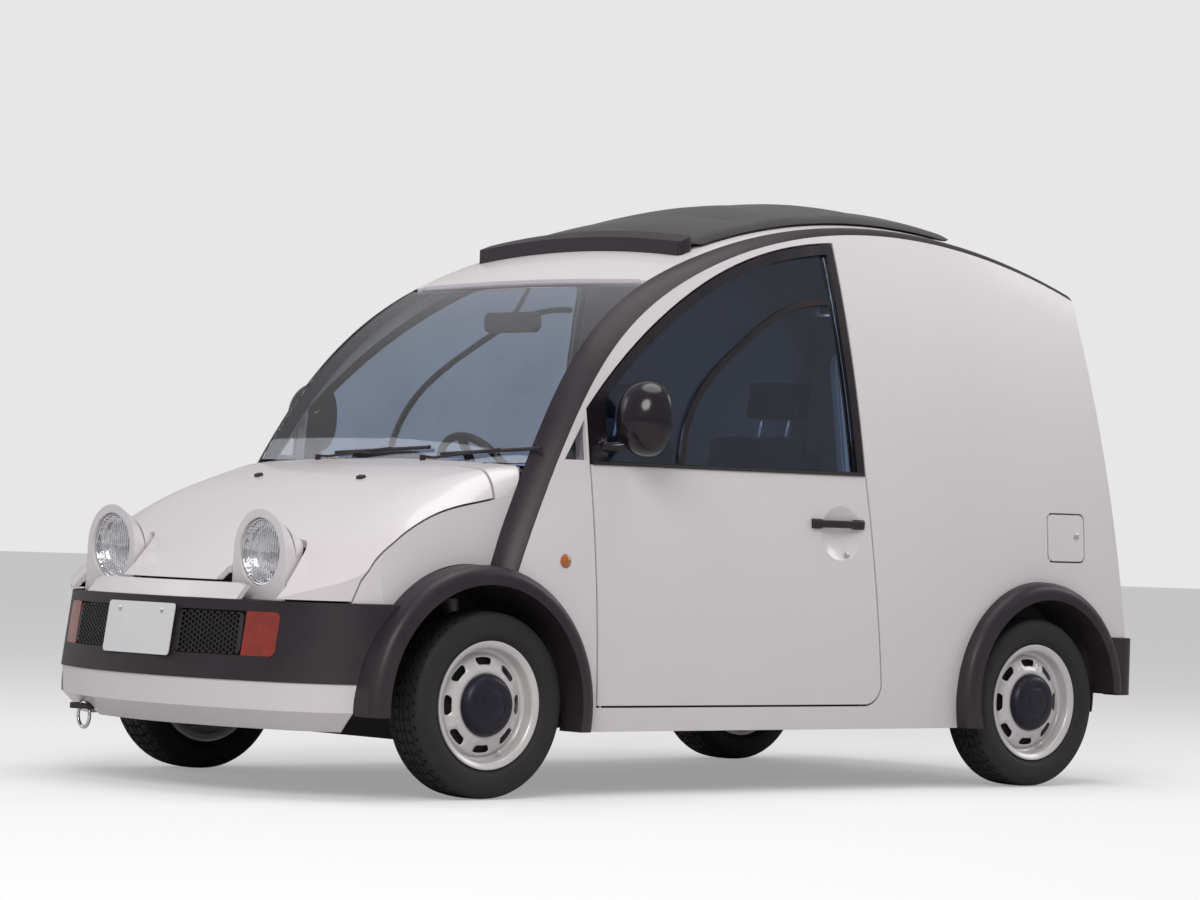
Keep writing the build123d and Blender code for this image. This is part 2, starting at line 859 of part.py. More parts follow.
# ---- Fenders and cowl in one pressing, with the box that carries the bonnet hinges and wipers ----
cowl_box_rear = -812
cowl_box_front = -878
cowl_box_low = 800
cowl_box_high = 886
cowl_box_half = 600
slot_floor = bonnet_hinge_z - 3 * bonnet_lug_radius
with BuildPart() as front_fenders:
    add(front_shell.part)
    add(bonnet_cut(bonnet_gap, bonnet_rear_gap), mode=Mode.SUBTRACT)
    with BuildSketch(Plane.YZ):
        with BuildLine():
            Polyline(
                (cowl_box_front, cowl_box_high), (cowl_box_front, cowl_box_low),
                (cowl_box_rear, cowl_box_low), (cowl_box_rear, screen_base - 2 * screen_thickness),
                (cowl_box_rear - wall_thickness, screen_base - 2 * screen_thickness),
                (cowl_box_rear - wall_thickness, cowl_box_high), (cowl_box_front, cowl_box_high),
            )
        make_face()
    extrude(amount=cowl_box_half, both=True)
    for sign in (1, -1):
        with BuildSketch(Plane.YZ.offset(sign * bonnet_lug_x)):
            slot_rear = bonnet_hinge_y + 2 * bonnet_lug_radius
            with Locations((slot_rear - overall_length / 2, slot_floor + tail_end / 2)):
                Rectangle(overall_length, tail_end)
        extrude(amount=hinge_lug_thickness / 2 + bonnet_gap, both=True, mode=Mode.SUBTRACT)
        with Locations(Plane.YZ.offset(sign * bonnet_lug_x)):
            with Locations((bonnet_hinge_y, bonnet_hinge_z)):
                Cylinder(
                    bonnet_pin_radius + running_fit,
                    2 * bonnet_pin_length + hinge_lug_thickness + 2 * bonnet_gap,
                    mode=Mode.SUBTRACT,
                )
keep(front_fenders.part, "front_fenders")

with BuildPart() as pillar_trims:
    add(trim_left.part)
    mirror(trim_left.part, about=Plane.YZ)
    add(front_fenders.part, mode=Mode.SUBTRACT)
keep(pillar_trims.part, "pillar_trims")

# ---- Bumper, valance and nose panel ----


def bumper_outline(inset, lean=0):
    """Plan outline of the bumper, moved inwards by an inset and leaned back."""
    return nose_outline(
        nose_end + inset + lean,
        bumper_half_width - inset,
        nose_radius - inset,
        corner_radius - inset,
        bumper_back,
    )


bumper_back = front_arch_y - front_arch_radius / 2
bumper_shells = {}
grille_pocket = 16
grille_recess = 6
grille_thickness = 5
for inset in (0, grille_recess, grille_recess + grille_thickness, grille_pocket, bumper_wall):
    with BuildPart() as bumper_solid:
        with BuildSketch(Plane.XY.offset(bumper_low)):
            add(bumper_outline(inset))
        with BuildSketch(Plane.XY.offset(bumper_high)):
            add(bumper_outline(inset, bumper_lean))
        loft(ruled=True)
    bumper_shells[inset] = bumper_solid.part

grille_inner_x = 166
grille_split_x = 416
grille_outer_x = 523
grille_low = 396
grille_high = 522
grille_corner = 18
plate_width = 330
plate_height = 150
plate_thickness = 3
plate_z = 459
plate_corner = 12
lean_angle = degrees(atan2(bumper_lean, bumper_high - bumper_low))
plinth_depth = 14
plinth_margin = 25
plate_front = nose_end + bumper_lean * (plate_z - bumper_low) / (bumper_high - bumper_low)
plate_stand = 1
plate_plane = Plane(
    origin=(0, plate_front - plate_stand, plate_z),
    x_dir=(1, 0, 0),
    z_dir=(0, -cos(radians(lean_angle)), sin(radians(lean_angle))),
)


def grille_window(first_x, last_x, gap=0):
    """Rounded window seen from the front, between two places across the van."""
    with BuildSketch() as profile:
        with Locations(((first_x + last_x) / 2, (grille_low + grille_high) / 2)):
            RectangleRounded(
                last_x - first_x - 2 * gap, grille_high - grille_low - 2 * gap, grille_corner - gap
            )
    return profile.sketch


with BuildPart() as front_bumper:
    add(bumper_shells[0])
    add(bumper_shells[bumper_wall], mode=Mode.SUBTRACT)
    # plinth for the number plate
    with BuildSketch(plate_plane):
        Rectangle(plate_width - 2 * plinth_margin, plate_height - 2 * plinth_margin)
    extrude(amount=-plinth_depth)
    # wheel arch
    with BuildSketch(Plane.YZ):
        with Locations((front_arch_y, front_arch_z)):
            Circle(front_arch_radius)
    extrude(amount=body_half_width + wall_thickness, both=True, mode=Mode.SUBTRACT)
for sign in (1, -1):
    with BuildPart() as pocket:
        with BuildSketch(Plane.XZ):
            add(grille_window(grille_inner_x, grille_outer_x))
        extrude(amount=overall_length)
        add(bumper_shells[grille_pocket], mode=Mode.SUBTRACT)
        if sign < 0:
            mirror(about=Plane.YZ, mode=Mode.REPLACE)
    with front_bumper:
        add(pocket.part, mode=Mode.SUBTRACT)
keep(front_bumper.part, "front_bumper")

# perforated grille inserts and the indicators beside them
mesh_pitch = 15
grille_fit = 3.5
mesh_hole = 6
mesh_columns = 17
mesh_rows = 8
grille_middle_x = (grille_inner_x + grille_split_x) / 2
grille_yaw = asin(grille_middle_x / nose_radius)
grille_middle_z = (grille_low + grille_high) / 2
grille_surface_y = (
    nose_end + nose_radius - sqrt(nose_radius**2 - grille_middle_x**2)
    + bumper_lean * (grille_middle_z - bumper_low) / (bumper_high - bumper_low)
)
grille_normal = Vector(
    sin(grille_yaw) * cos(radians(lean_angle)),
    -cos(grille_yaw) * cos(radians(lean_angle)),
    sin(radians(lean_angle)),
)
grille_plane = Plane(
    origin=Vector(grille_middle_x, grille_surface_y, grille_middle_z) - grille_normal * grille_recess,
    x_dir=(cos(grille_yaw), sin(grille_yaw), 0),
    z_dir=grille_normal,
)
with BuildPart() as grille_left:
    with BuildSketch(grille_plane):
        RectangleRounded(
            (grille_split_x - grille_inner_x) / cos(grille_yaw) - 2 * grille_fit,
            grille_high - grille_low - 2 * grille_fit,
            grille_corner,
        )
        with HexLocations(mesh_pitch / 2, mesh_columns, mesh_rows, major_radius=False):
            RegularPolygon(mesh_hole, 6, major_radius=False, mode=Mode.SUBTRACT)
    extrude(amount=-grille_thickness)
with BuildPart() as grilles:
    add(grille_left.part)
    mirror(grille_left.part, about=Plane.YZ)
keep(grilles.part, "grilles")

repeater_y = -746
repeater_z = 687
repeater_radius = 21
repeater_reach = 9
repeater_spare = 3
with BuildPart() as indicator_left:
    with BuildSketch(Plane.XZ):
        add(grille_window(grille_inner_x, grille_outer_x, seam))
        with Locations((grille_inner_x, grille_middle_z)):
            Rectangle(
                2 * (grille_split_x + 2 * seam - grille_inner_x),
                2 * (grille_high - grille_low),
                mode=Mode.SUBTRACT,
            )
    extrude(amount=overall_length)
    add(bumper_shells[0], mode=Mode.INTERSECT)
    add(bumper_shells[grille_pocket], mode=Mode.SUBTRACT)
with BuildPart() as repeater_left:
    with BuildSketch(Plane(origin=(0, repeater_y, repeater_z), x_dir=(1, 0, 0), z_dir=(0, -1, 0))):
        with BuildLine():
            base_x = side_x(repeater_z)
            repeater_middle, repeater_drop = cap_middle(repeater_radius, repeater_reach)
            Polyline(
                (base_x + repeater_reach, 0),
                (base_x - repeater_spare, 0),
                (base_x - repeater_spare, repeater_radius),
                (base_x, repeater_radius),
            )
            ThreePointArc(
                (base_x, repeater_radius),
                (base_x + repeater_reach - repeater_drop, repeater_middle),
                (base_x + repeater_reach, 0),
            )
        make_face()
    revolve(axis=Axis((0, repeater_y, repeater_z), (1, 0, 0)))
    add(inside_walls(-seat_gap), mode=Mode.SUBTRACT)
with BuildPart() as indicators:
    for piece in (indicator_left, repeater_left):
        add(piece.part)
        mirror(piece.part, about=Plane.YZ)
keep(indicators.part, "indicators")

# lower valance, tucked under towards the road
valance_crease = 246
valance_inset = 8
valance_tuck = 62
valance_wall = 30
tow_x = -359
tow_setback = 78
tow_eye_y = nose_end + tow_setback
tow_eye_radius = 28
tow_eye_wall = 14
tow_low = 206
tow_thickness = 16
tow_clearance = 6
tow_slot_reach = 192
with BuildPart() as valance_outer:
    for level, inset in (
        (bumper_low - seam, valance_inset / 2),
        (valance_crease, valance_inset),
        (valance_low, valance_tuck),
    ):
        with BuildSketch(Plane.XY.offset(level)):
            add(bumper_outline(inset))
    loft(ruled=True)
with BuildPart() as valance_inner:
    for level, inset in (
        (bumper_low, valance_wall),
        (valance_crease, valance_wall),
        (valance_low - 1, valance_tuck + valance_wall),
    ):
        with BuildSketch(Plane.XY.offset(level)):
            add(bumper_outline(inset))
    loft(ruled=True)
with BuildPart() as front_valance:
    add(valance_outer.part)
    add(valance_inner.part, mode=Mode.SUBTRACT)
    with BuildSketch(Plane.YZ):
        with Locations((front_arch_y, front_arch_z)):
            Circle(front_arch_radius)
    extrude(amount=body_half_width + wall_thickness, both=True, mode=Mode.SUBTRACT)
    # notch round the tow eye, open below so that a pin can come up into the eye
    with BuildSketch(Plane.XY.offset(valance_low - seam)):
        with Locations((tow_x, tow_eye_y)):
            Rectangle(2 * (tow_eye_radius + tow_eye_wall + tow_clearance), tow_slot_reach)
    extrude(amount=tow_low + tow_thickness + tow_clearance - valance_low + seam, mode=Mode.SUBTRACT)
keep(front_valance.part, "front_valance")

# front number plate
with BuildPart() as number_plate_front:
    with BuildSketch(plate_plane.offset(seam)):
        RectangleRounded(plate_width, plate_height, plate_corner)
    extrude(amount=plate_thickness)
keep(number_plate_front.part, "number_plate_front")

# nose panel: the pods and the badge strip between them
with BuildPart() as lamp_bore:
    with BuildSketch(lamp_plane):
        Circle(lens_radius + bowl_clearance)
    extrude(amount=-lamp_bore_depth)
    with BuildSketch(lamp_plane):
        Circle(lens_radius + bowl_clearance)
    extrude(amount=lens_radius)
with BuildPart() as strip_outer:
    with BuildSketch(Plane.XY.offset(bumper_high + seam)):
        add(nose_prism(0))
    with BuildSketch(Plane.XY.offset(strip_high)):
        add(nose_prism(strip_lean))
    loft(ruled=True)
with BuildPart() as strip_inner:
    with BuildSketch(Plane.XY.offset(bumper_high)):
        add(nose_prism(strip_thickness))
    with BuildSketch(Plane.XY.offset(strip_high)):
        add(nose_prism(strip_lean + strip_thickness))
    loft(ruled=True)
with BuildPart() as nose_panel:
    add(strip_outer.part)
    add(strip_inner.part, mode=Mode.SUBTRACT)
    with BuildSketch(Plane.XY.offset(form_foot)):
        with Locations((0, nose_front)):
            Rectangle(2 * pod_middle_x, 2 * corner_radius)
    extrude(amount=tail_end, mode=Mode.INTERSECT)
    add(pod_left.part)
    mirror(pod_left.part, about=Plane.YZ)
    add(lamp_bore.part, mode=Mode.SUBTRACT)
    mirror(lamp_bore.part, about=Plane.YZ, mode=Mode.SUBTRACT)
keep(nose_panel.part, "nose_panel")

# lamps: a bowl with a domed lens
lens_recess = 16
lens_dome = 12
lens_edge = 8
bowl_back_radius = 53
lamp_axis = Axis(lamp_plane.origin, lamp_plane.z_dir)
lamp_side_plane = Plane(origin=lamp_plane.origin, x_dir=(1, 0, 0), z_dir=lamp_plane.y_dir)
lens_middle, lens_drop = cap_middle(lens_radius, lens_dome)
with BuildPart() as lamp_left:
    # local y of this plane runs back into the pod
    with BuildSketch(lamp_side_plane):
        with BuildLine():
            Polyline(
                (0, lens_recess - lens_dome),
                (0, lamp_bore_depth - seam),
                (bowl_back_radius, lamp_bore_depth - seam),
                (lens_radius + bowl_clearance - seam, lens_recess + lens_edge),
                (lens_radius + bowl_clearance - seam, lens_recess),
                (lens_radius, lens_recess),
            )
            ThreePointArc(
                (lens_radius, lens_recess),
                (lens_middle, lens_recess - lens_dome + lens_drop),
                (0, lens_recess - lens_dome),
            )
        make_face()
    revolve(axis=lamp_axis)
with BuildPart() as headlamps:
    add(lamp_left.part)
    mirror(lamp_left.part, about=Plane.YZ)
keep(headlamps.part, "headlamps")

# ---- Wheel-arch flares and wheel houses ----
flare_root_x = 700
flare_wall = 5
flare_round = 34
flare_feet = ((238, 192), (190, 300))
house_wall = 6
house_inner_x = (455, 590)
house_low = 235
house_wall_low = (235, 345)
arches = (
    (front_arch_y, front_arch_z, front_arch_radius),
    (rear_arch_y, rear_arch_z, rear_arch_radius),
)


def arch_plane(arch_y, arch_z):
    """Plane through the axis of a wheel arch, with local x along the axis and local y upwards."""
    return Plane(origin=(0, arch_y, arch_z), x_dir=(1, 0, 0), z_dir=(0, -1, 0))


def flare(arch_y, arch_z, outer, feet):
    """Flare of one left wheel arch: a hollow ring that stands proud of the skin, cut off at its feet."""
    inner = outer - flare_width
    with BuildPart() as ring:
        with BuildSketch(arch_plane(arch_y, arch_z)):
            with BuildLine():
                edge = Line((flare_root_x, outer - seam), (flare_reach - flare_round, outer - seam))
                TangentArc(edge @ 1, (flare_reach, outer - flare_round), tangent=edge % 1)
                Polyline(
                    (flare_reach, outer - flare_round),
                    (flare_reach, inner),
                    (flare_root_x, inner),
                    (flare_root_x, inner + flare_wall),
                    (flare_reach - flare_wall, inner + flare_wall),
                    (flare_reach - flare_wall, outer - flare_round),
                    (flare_reach - flare_round, outer - seam - flare_wall),
                    (flare_root_x, outer - seam - flare_wall),
                    (flare_root_x, outer - seam),
                )
            make_face()
        revolve(axis=Axis((0, arch_y, arch_z), (1, 0, 0)))
        with BuildSketch(Plane.YZ):
            Polygon(
                (arch_y - outer, feet[0]),
                (arch_y, feet[0]),
                (arch_y, feet[1]),
                (arch_y + outer, feet[1]),
                (arch_y + outer, arch_z + outer),
                (arch_y - outer, arch_z + outer),
                align=None,
            )
        extrude(amount=flare_reach, mode=Mode.INTERSECT)
    return ring.part


def wheel_house(arch_y, arch_z, outer, inner_x, wall_low):
    """Liner of one left wheel arch: a ring above the tyre and a wall inboard of it."""
    inner = outer - flare_width
    with BuildPart() as liner:
        with BuildSketch(Plane.YZ.offset(inner_x)):
            with Locations((arch_y, arch_z)):
                Circle(inner + house_wall)
        extrude(amount=flare_root_x - inner_x)
        with BuildSketch(Plane.YZ.offset(inner_x + house_wall)):
            with Locations((arch_y, arch_z)):
                Circle(inner)
        extrude(amount=flare_root_x, mode=Mode.SUBTRACT)
        with BuildSketch(Plane.XY.offset(house_low)):
            with Locations((flare_root_x / 2, arch_y)):
                Rectangle(2 * flare_root_x, 2 * outer)
        extrude(amount=-outer, mode=Mode.SUBTRACT)
        with BuildSketch(Plane.YZ.offset(inner_x)):
            with Locations((arch_y, wall_low / 2)):
                Rectangle(2 * outer, wall_low)
        extrude(amount=house_wall, mode=Mode.SUBTRACT)
    return liner.part


with BuildPart() as wheel_flares:
    for (arch_y, arch_z, outer), feet in zip(arches, flare_feet):
        add(flare(arch_y, arch_z, outer, feet))
        mirror(flare(arch_y, arch_z, outer, feet), about=Plane.YZ)
keep(wheel_flares.part, "wheel_flares")

with BuildPart() as wheel_houses:
    for (arch_y, arch_z, outer), inner_x, wall_low in zip(arches, house_inner_x, house_wall_low):
        add(wheel_house(arch_y, arch_z, outer, inner_x, wall_low))
        mirror(wheel_house(arch_y, arch_z, outer, inner_x, wall_low), about=Plane.YZ)
keep(wheel_houses.part, "wheel_houses")

# ---- Floor: firewall, cabin floor and load floor in one pressing ----
floor_low = 205
floor_thickness = 30
load_floor_low = 350
load_step_y = 650
load_step_run = 40
firewall_y = -696
firewall_thickness = 16
firewall_knee = 640
tail_sill_y = 1596
seat_x = 350
seat_half_width = 245
seat_rail_x = 170
seat_rail_y = (-120, 300)
seat_low = 400
seat_rail_thickness = 8
with BuildPart() as floor_pan:
    with BuildSketch(Plane.YZ):
        Polygon(
            (firewall_y, floor_low),
            (firewall_y, firewall_knee),
            (cowl_box_rear, cowl_box_low),
            (cowl_box_rear, cowl_box_high - firewall_thickness),
            (cowl_box_rear + firewall_thickness, cowl_box_high - firewall_thickness),
            (cowl_box_rear + firewall_thickness, cowl_box_low + seam),
            (firewall_y + firewall_thickness, firewall_knee + seam),
            (firewall_y + firewall_thickness, floor_low + floor_thickness),
            (load_step_y, floor_low + floor_thickness),
            (load_step_y + load_step_run, load_floor_low + floor_thickness),
            (tail_sill_y, load_floor_low + floor_thickness),
            (tail_sill_y, tail_foot[1]),
            (tail_foot[0], tail_foot[1]),
            (tail_foot[0], load_floor_low),
            (load_step_y + load_step_run + floor_thickness, load_floor_low),
            (load_step_y + floor_thickness, floor_low),
            align=None,
        )
    extrude(amount=body_half_width, both=True)
    add(cabin_space, mode=Mode.INTERSECT)
    add(tail_core, mode=Mode.INTERSECT)
    # room for the rear wheel houses
    for sign in (1, -1):
        with BuildSketch(Plane.YZ.offset(sign * house_inner_x[1])):
            with Locations((rear_arch_y, rear_arch_z)):
                Circle(rear_arch_radius - flare_width + house_wall)
        extrude(amount=sign * body_half_width, mode=Mode.SUBTRACT)
    # seat rails
    for middle_x in (seat_x, -seat_x):
        for side in (1, -1):
            with BuildSketch(Plane.YZ.offset(middle_x + side * seat_rail_x)):
                with Locations((sum(seat_rail_y) / 2, (floor_low + floor_thickness + seat_low) / 2)):
                    Rectangle(seat_rail_y[1] - seat_rail_y[0], seat_low - floor_low - floor_thickness)
            extrude(amount=seat_rail_thickness / 2, both=True)
keep(floor_pan.part, "floor_pan")

# ---- Front subframe with the lower arms, the steering rack and the tow eye ----
rail_inner_x = 350
rail_outer_x = 410
rail_low = 380
rail_high = 460
frame_setback = 150
frame_front = nose_end + frame_setback
frame_beam = 30
arm_low = 150
arm_high = 172
arm_half = 30
kingpin_x = 640
kingpin_radius = 10
cross_half = 35
rack_y = -900
rack_z = 250
rack_radius = 18
with BuildPart() as front_subframe:
    for sign in (1, -1):
        middle_x = sign * (rail_inner_x + rail_outer_x) / 2
        with BuildSketch(Plane.XY.offset(rail_low)):
            with Locations((middle_x, (frame_front + firewall_y) / 2)):
                Rectangle(rail_outer_x - rail_inner_x, firewall_y - frame_front)
        extrude(amount=rail_high - rail_low)
        # legs down to the cross-member and the rack
        for leg_y in (front_axle_y, rack_y):
            with BuildSketch(Plane.XY.offset(arm_low)):
                with Locations((middle_x, leg_y)):
                    Rectangle(rail_outer_x - rail_inner_x, 2 * cross_half)
            extrude(amount=rail_low - arm_low)
    with BuildSketch(Plane.XY.offset(rail_low)):
        with Locations((0, frame_front + frame_beam / 2)):
            Rectangle(2 * rail_outer_x, frame_beam)
    extrude(amount=rail_high - rail_low)
    with BuildSketch(Plane.XY.offset(arm_low)):
        with Locations((0, front_axle_y)):
            Rectangle(2 * rail_outer_x, 2 * cross_half)
    extrude(amount=2 * cross_half)
    with BuildSketch(Plane.XY.offset(arm_low)):
        with Locations((0, front_axle_y)):
            SlotOverall(2 * (kingpin_x + arm_half), 2 * arm_half)
        with Locations((kingpin_x, front_axle_y), (-kingpin_x, front_axle_y)):
            Circle(kingpin_radius + running_fit, mode=Mode.SUBTRACT)
    extrude(amount=arm_high - arm_low)
    with Locations(Plane.YZ):
        with Locations((rack_y, rack_z)):
            Cylinder(rack_radius, 2 * rail_outer_x)
    # tow eye ahead of the valance, on a leg of its own
    with BuildSketch(Plane.XY.offset(tow_low)):
        with Locations((tow_x, tow_eye_y)):
            Circle(tow_eye_radius + tow_eye_wall)
        with Locations((tow_x, (tow_eye_y + frame_front + frame_beam) / 2)):
            Rectangle(2 * tow_eye_wall, frame_front + frame_beam - tow_eye_y)
        with Locations((tow_x, tow_eye_y)):
            Circle(tow_eye_radius, mode=Mode.SUBTRACT)
    extrude(amount=tow_thickness)
    with BuildSketch(Plane.XY.offset(tow_low)):
        with Locations((tow_x, frame_front + frame_beam / 2)):
            Rectangle(2 * tow_eye_wall, frame_beam)
    extrude(amount=rail_low - tow_low)
keep(front_subframe.part, "front_subframe")

# ---- Engine and gearbox in one block, with its two mounts ----
engine_x = (-230, 250)
engine_y = (-1380, -960)
engine_z = (300, 700)
mount_y = -1170
mount_z = 430
mount_size = 50
with BuildPart() as engine_block:
    with BuildSketch(Plane.XY.offset(engine_z[0])):
        with Locations((sum(engine_x) / 2, sum(engine_y) / 2)):
            Rectangle(engine_x[1] - engine_x[0], engine_y[1] - engine_y[0])
    extrude(amount=engine_z[1] - engine_z[0])
    with Locations((0, mount_y, mount_z)):
        Box(2 * rail_inner_x, mount_size, mount_size)
keep(engine_block.part, "engine_block")

# ---- Exhaust ----
pipe_radius = 22
tail_pipe_radius = 18
pipe_z = 174
pipe_x = -60
silencer_x = -300
silencer_y = (1380, 1590)
silencer_z = 262
silencer_radius = 70
silencer_drop = 20
pipe_rise = 40
pipe_bend = 45
tail_pipe_end = (silencer_x, 1716, 222)
with BuildPart() as exhaust:
    with BuildLine() as pipe_line:
        FilletPolyline(
            (pipe_x, engine_y[1], engine_z[0] + pipe_rise),
            (pipe_x, engine_y[1] + silencer_radius, engine_z[0] + pipe_rise),
            (pipe_x, -720, pipe_z),
            (pipe_x, 900, pipe_z),
            (silencer_x, 1240, pipe_z),
            (silencer_x, silencer_y[0] + silencer_drop / 2, silencer_z - silencer_drop),
            radius=pipe_bend,
        )
    with BuildSketch(Plane(origin=pipe_line.line @ 0, z_dir=pipe_line.line % 0)):
        Circle(pipe_radius)
    sweep(path=pipe_line.line)
    silencer_ends = [(silencer_x, y, silencer_z) for y in silencer_y]
    add(rod(*silencer_ends, silencer_radius))
    add(
        rod(
            (silencer_x, silencer_y[1] - silencer_drop, silencer_z - silencer_drop),
            tail_pipe_end,
            tail_pipe_radius,
        )
    )
    # hanger up to the load floor
    with BuildSketch(Plane.XY.offset(silencer_z)):
        with Locations((silencer_x, sum(silencer_y) / 2)):
            Rectangle(pipe_radius, pipe_radius)
    extrude(amount=load_floor_low - silencer_z)
keep(exhaust.part, "exhaust")

# ---- Fuel tank under the load floor ----
tank_half_width = 330
tank_length = 300
tank_axle_gap = 175
tank_y = (rear_axle_y - tank_axle_gap - tank_length, rear_axle_y - tank_axle_gap)
tank_low = 212
tank_corner = 40
with BuildPart() as fuel_tank:
    with BuildSketch(Plane.XY.offset(tank_low)):
        with Locations((0, sum(tank_y) / 2)):
            RectangleRounded(2 * tank_half_width, tank_y[1] - tank_y[0], tank_corner)
    extrude(amount=load_floor_low - tank_low)
keep(fuel_tank.part, "fuel_tank")

# ---- Rear axle: beam, spindles and trailing arms ----
axle_beam_radius = 35
axle_beam_half = 560
axle_arm_x = 440
axle_arm_width = 40
axle_arm_half = 30
axle_arm_length = 135
axle_arm_front = rear_axle_y - axle_arm_length
spindle_end = 748
with BuildPart() as rear_axle:
    with Locations(Plane.YZ):
        with Locations((rear_axle_y, tyre_radius)):
            Cylinder(axle_beam_radius, 2 * axle_beam_half)
            Cylinder(spindle_radius, 2 * spindle_end)
    for sign in (1, -1):
        with BuildSketch(Plane.YZ.offset(sign * axle_arm_x)):
            Polygon(
                (rear_axle_y, tyre_radius - axle_arm_half),
                (rear_axle_y, tyre_radius + axle_arm_half),
                (axle_arm_front + axle_arm_width, load_floor_low),
                (axle_arm_front, load_floor_low),
                (axle_arm_front, tyre_radius),
                align=None,
            )
        extrude(amount=axle_arm_width / 2, both=True)
keep(rear_axle.part, "rear_axle")

# ---- Steering knuckles: kingpin, upright, strut and spindle ----
knuckle_half = 18
knuckle_high = 400
strut_radius = 22
strut_foot = (610, front_axle_y, 330)
strut_top = (565, front_axle_y, 566)
with BuildPart() as knuckle_left:
    with Locations((kingpin_x, front_axle_y, arm_low)):
        Cylinder(kingpin_radius, tyre_radius - arm_low, align=(Align.CENTER, Align.CENTER, Align.MIN))
    with BuildSketch(Plane.XY.offset(arm_high + seat_gap)):
        with Locations((kingpin_x, front_axle_y)):
            Rectangle(2 * knuckle_half, 2 * strut_radius)
    extrude(amount=knuckle_high - arm_high)
    add(rod(strut_foot, strut_top, strut_radius))
    add(rod((kingpin_x, front_axle_y, tyre_radius), (spindle_end, front_axle_y, tyre_radius), spindle_radius))
keep(knuckle_left.part, "knuckle_left")

with BuildPart() as knuckle_right:
    mirror(knuckle_left.part, about=Plane.YZ)
keep(knuckle_right.part, "knuckle_right")

# ---- Wheels and tyres ----
rim_half = rim_width / 2
rim_wall = 6
flange_thickness = 6
slot_ring = 125
slot_length = 54
slot_width = 24
slot_depth = 40
hub_radius = 55
hub_inner = -20
cap_seat = 46
cap_land = 18
cap_lift = 4
cap_round = 36
cap_bulge = 7
tyre_seat = rim_radius - 17
seat_fall = 2
flange_foot = rim_radius - 25
well_inner_radius = rim_well_radius - rim_wall
# places of the rim well across the wheel, and the back of the disc down to the hub
well_y = (-30, -20, 8, 18)
disc_back = [(24, 136), (36, 110), (38, hub_radius)]
tread_shoulder = 10
tread_crown = 2
bead_rise = 3
wall_rise = 38


def wheel_plane(axle_y):
    """Plane through the wheel's axis, with local x outwards from its middle and local y upwards."""
    return Plane(origin=(wheel_track_half, axle_y, tyre_radius), x_dir=(1, 0, 0), z_dir=(0, -1, 0))


def steel_wheel(axle_y):
    """Steel wheel with its slots and hub cap, on the left."""
    bore = spindle_radius + running_fit
    bore_end = spindle_end - wheel_track_half + 2
    with BuildPart() as wheel:
        with BuildSketch(wheel_plane(axle_y)):
            with BuildLine():
                Polyline(
                    (hub_inner, bore),
                    (bore_end, bore),
                    (bore_end, 0),
                    (hub_cap_reach, 0),
                    (hub_cap_reach, hub_cap_radius - cap_round),
                )
                ThreePointArc(
                    (hub_cap_reach, hub_cap_radius - cap_round),
                    (hub_cap_reach - cap_bulge, hub_cap_radius - 2 * cap_bulge),
                    (cap_seat + cap_lift, hub_cap_radius),
                )
                Polyline(
                    (cap_seat + cap_lift, hub_cap_radius),
                    (cap_seat, hub_cap_radius + cap_land / 2),
                    (cap_seat - cap_lift, hub_cap_radius + cap_land),
                    (disc_outset - cap_lift, well_inner_radius),
                    (disc_outset - 2 * cap_lift, flange_foot),
                    (rim_half, flange_foot),
                    (rim_half, rim_radius),
                    (rim_half - flange_thickness, rim_radius),
                    (rim_half - flange_thickness, tyre_seat),
                    (well_y[3], tyre_seat - seat_fall),
                    (well_y[2], rim_well_radius),
                    (well_y[1], rim_well_radius),
                    (well_y[0], tyre_seat - seat_fall),
                    (flange_thickness - rim_half, tyre_seat),
                    (flange_thickness - rim_half, rim_radius),
                    (-rim_half, rim_radius),
                    (-rim_half, flange_foot),
                    (well_y[0] - rim_wall, flange_foot - seat_fall),
                    (well_y[1] - rim_wall, well_inner_radius),
                    (well_y[2] + rim_wall, well_inner_radius),
                    *disc_back,
                    (hub_inner, hub_radius),
                    (hub_inner, bore),
                )
            make_face()
        revolve(axis=Axis((0, axle_y, tyre_radius), (1, 0, 0)))
        with BuildSketch(Plane.YZ.offset(wheel_track_half + disc_outset - slot_depth / 2)):
            with Locations((axle_y, tyre_radius)):
                with PolarLocations(slot_ring, wheel_slots):
                    SlotOverall(slot_length, slot_width, rotation=90)
        extrude(amount=slot_depth, mode=Mode.SUBTRACT)
    return wheel.part


def tyre(axle_y):
    """Tyre between the wheel's flanges, on the left."""
    half = tyre_width / 2
    bead = rim_half - flange_thickness - seat_gap
    with BuildPart() as ring:
        with BuildSketch(wheel_plane(axle_y)):
            with BuildLine():
                for sign in (1, -1):
                    shoulder = (sign * (half - tread_shoulder), tyre_radius - tread_shoulder)
                    tread_edge = (sign * (half - 2 * tread_shoulder), tyre_radius - tread_crown)
                    Polyline(
                        (0, tyre_seat + seat_gap),
                        (sign * bead, tyre_seat + seat_gap),
                        (sign * bead, rim_radius + bead_rise),
                    )
                    ThreePointArc(
                        (sign * bead, rim_radius + bead_rise),
                        (sign * half, rim_radius + wall_rise),
                        shoulder,
                    )
                    Line(shoulder, tread_edge)
                    Line(tread_edge, (0, tyre_radius))
            make_face()
        revolve(axis=Axis((0, axle_y, tyre_radius), (1, 0, 0)))
    return ring.part


for axle_name, axle_y in (("front", front_axle_y), ("rear", rear_axle_y)):
    for piece_name, left_piece in (("wheel", steel_wheel(axle_y)), ("tyre", tyre(axle_y))):
        keep(left_piece, f"{piece_name}_{axle_name}_left")
        with BuildPart() as right_piece:
            mirror(left_piece, about=Plane.YZ)
        keep(right_piece.part, f"{piece_name}_{axle_name}_right")

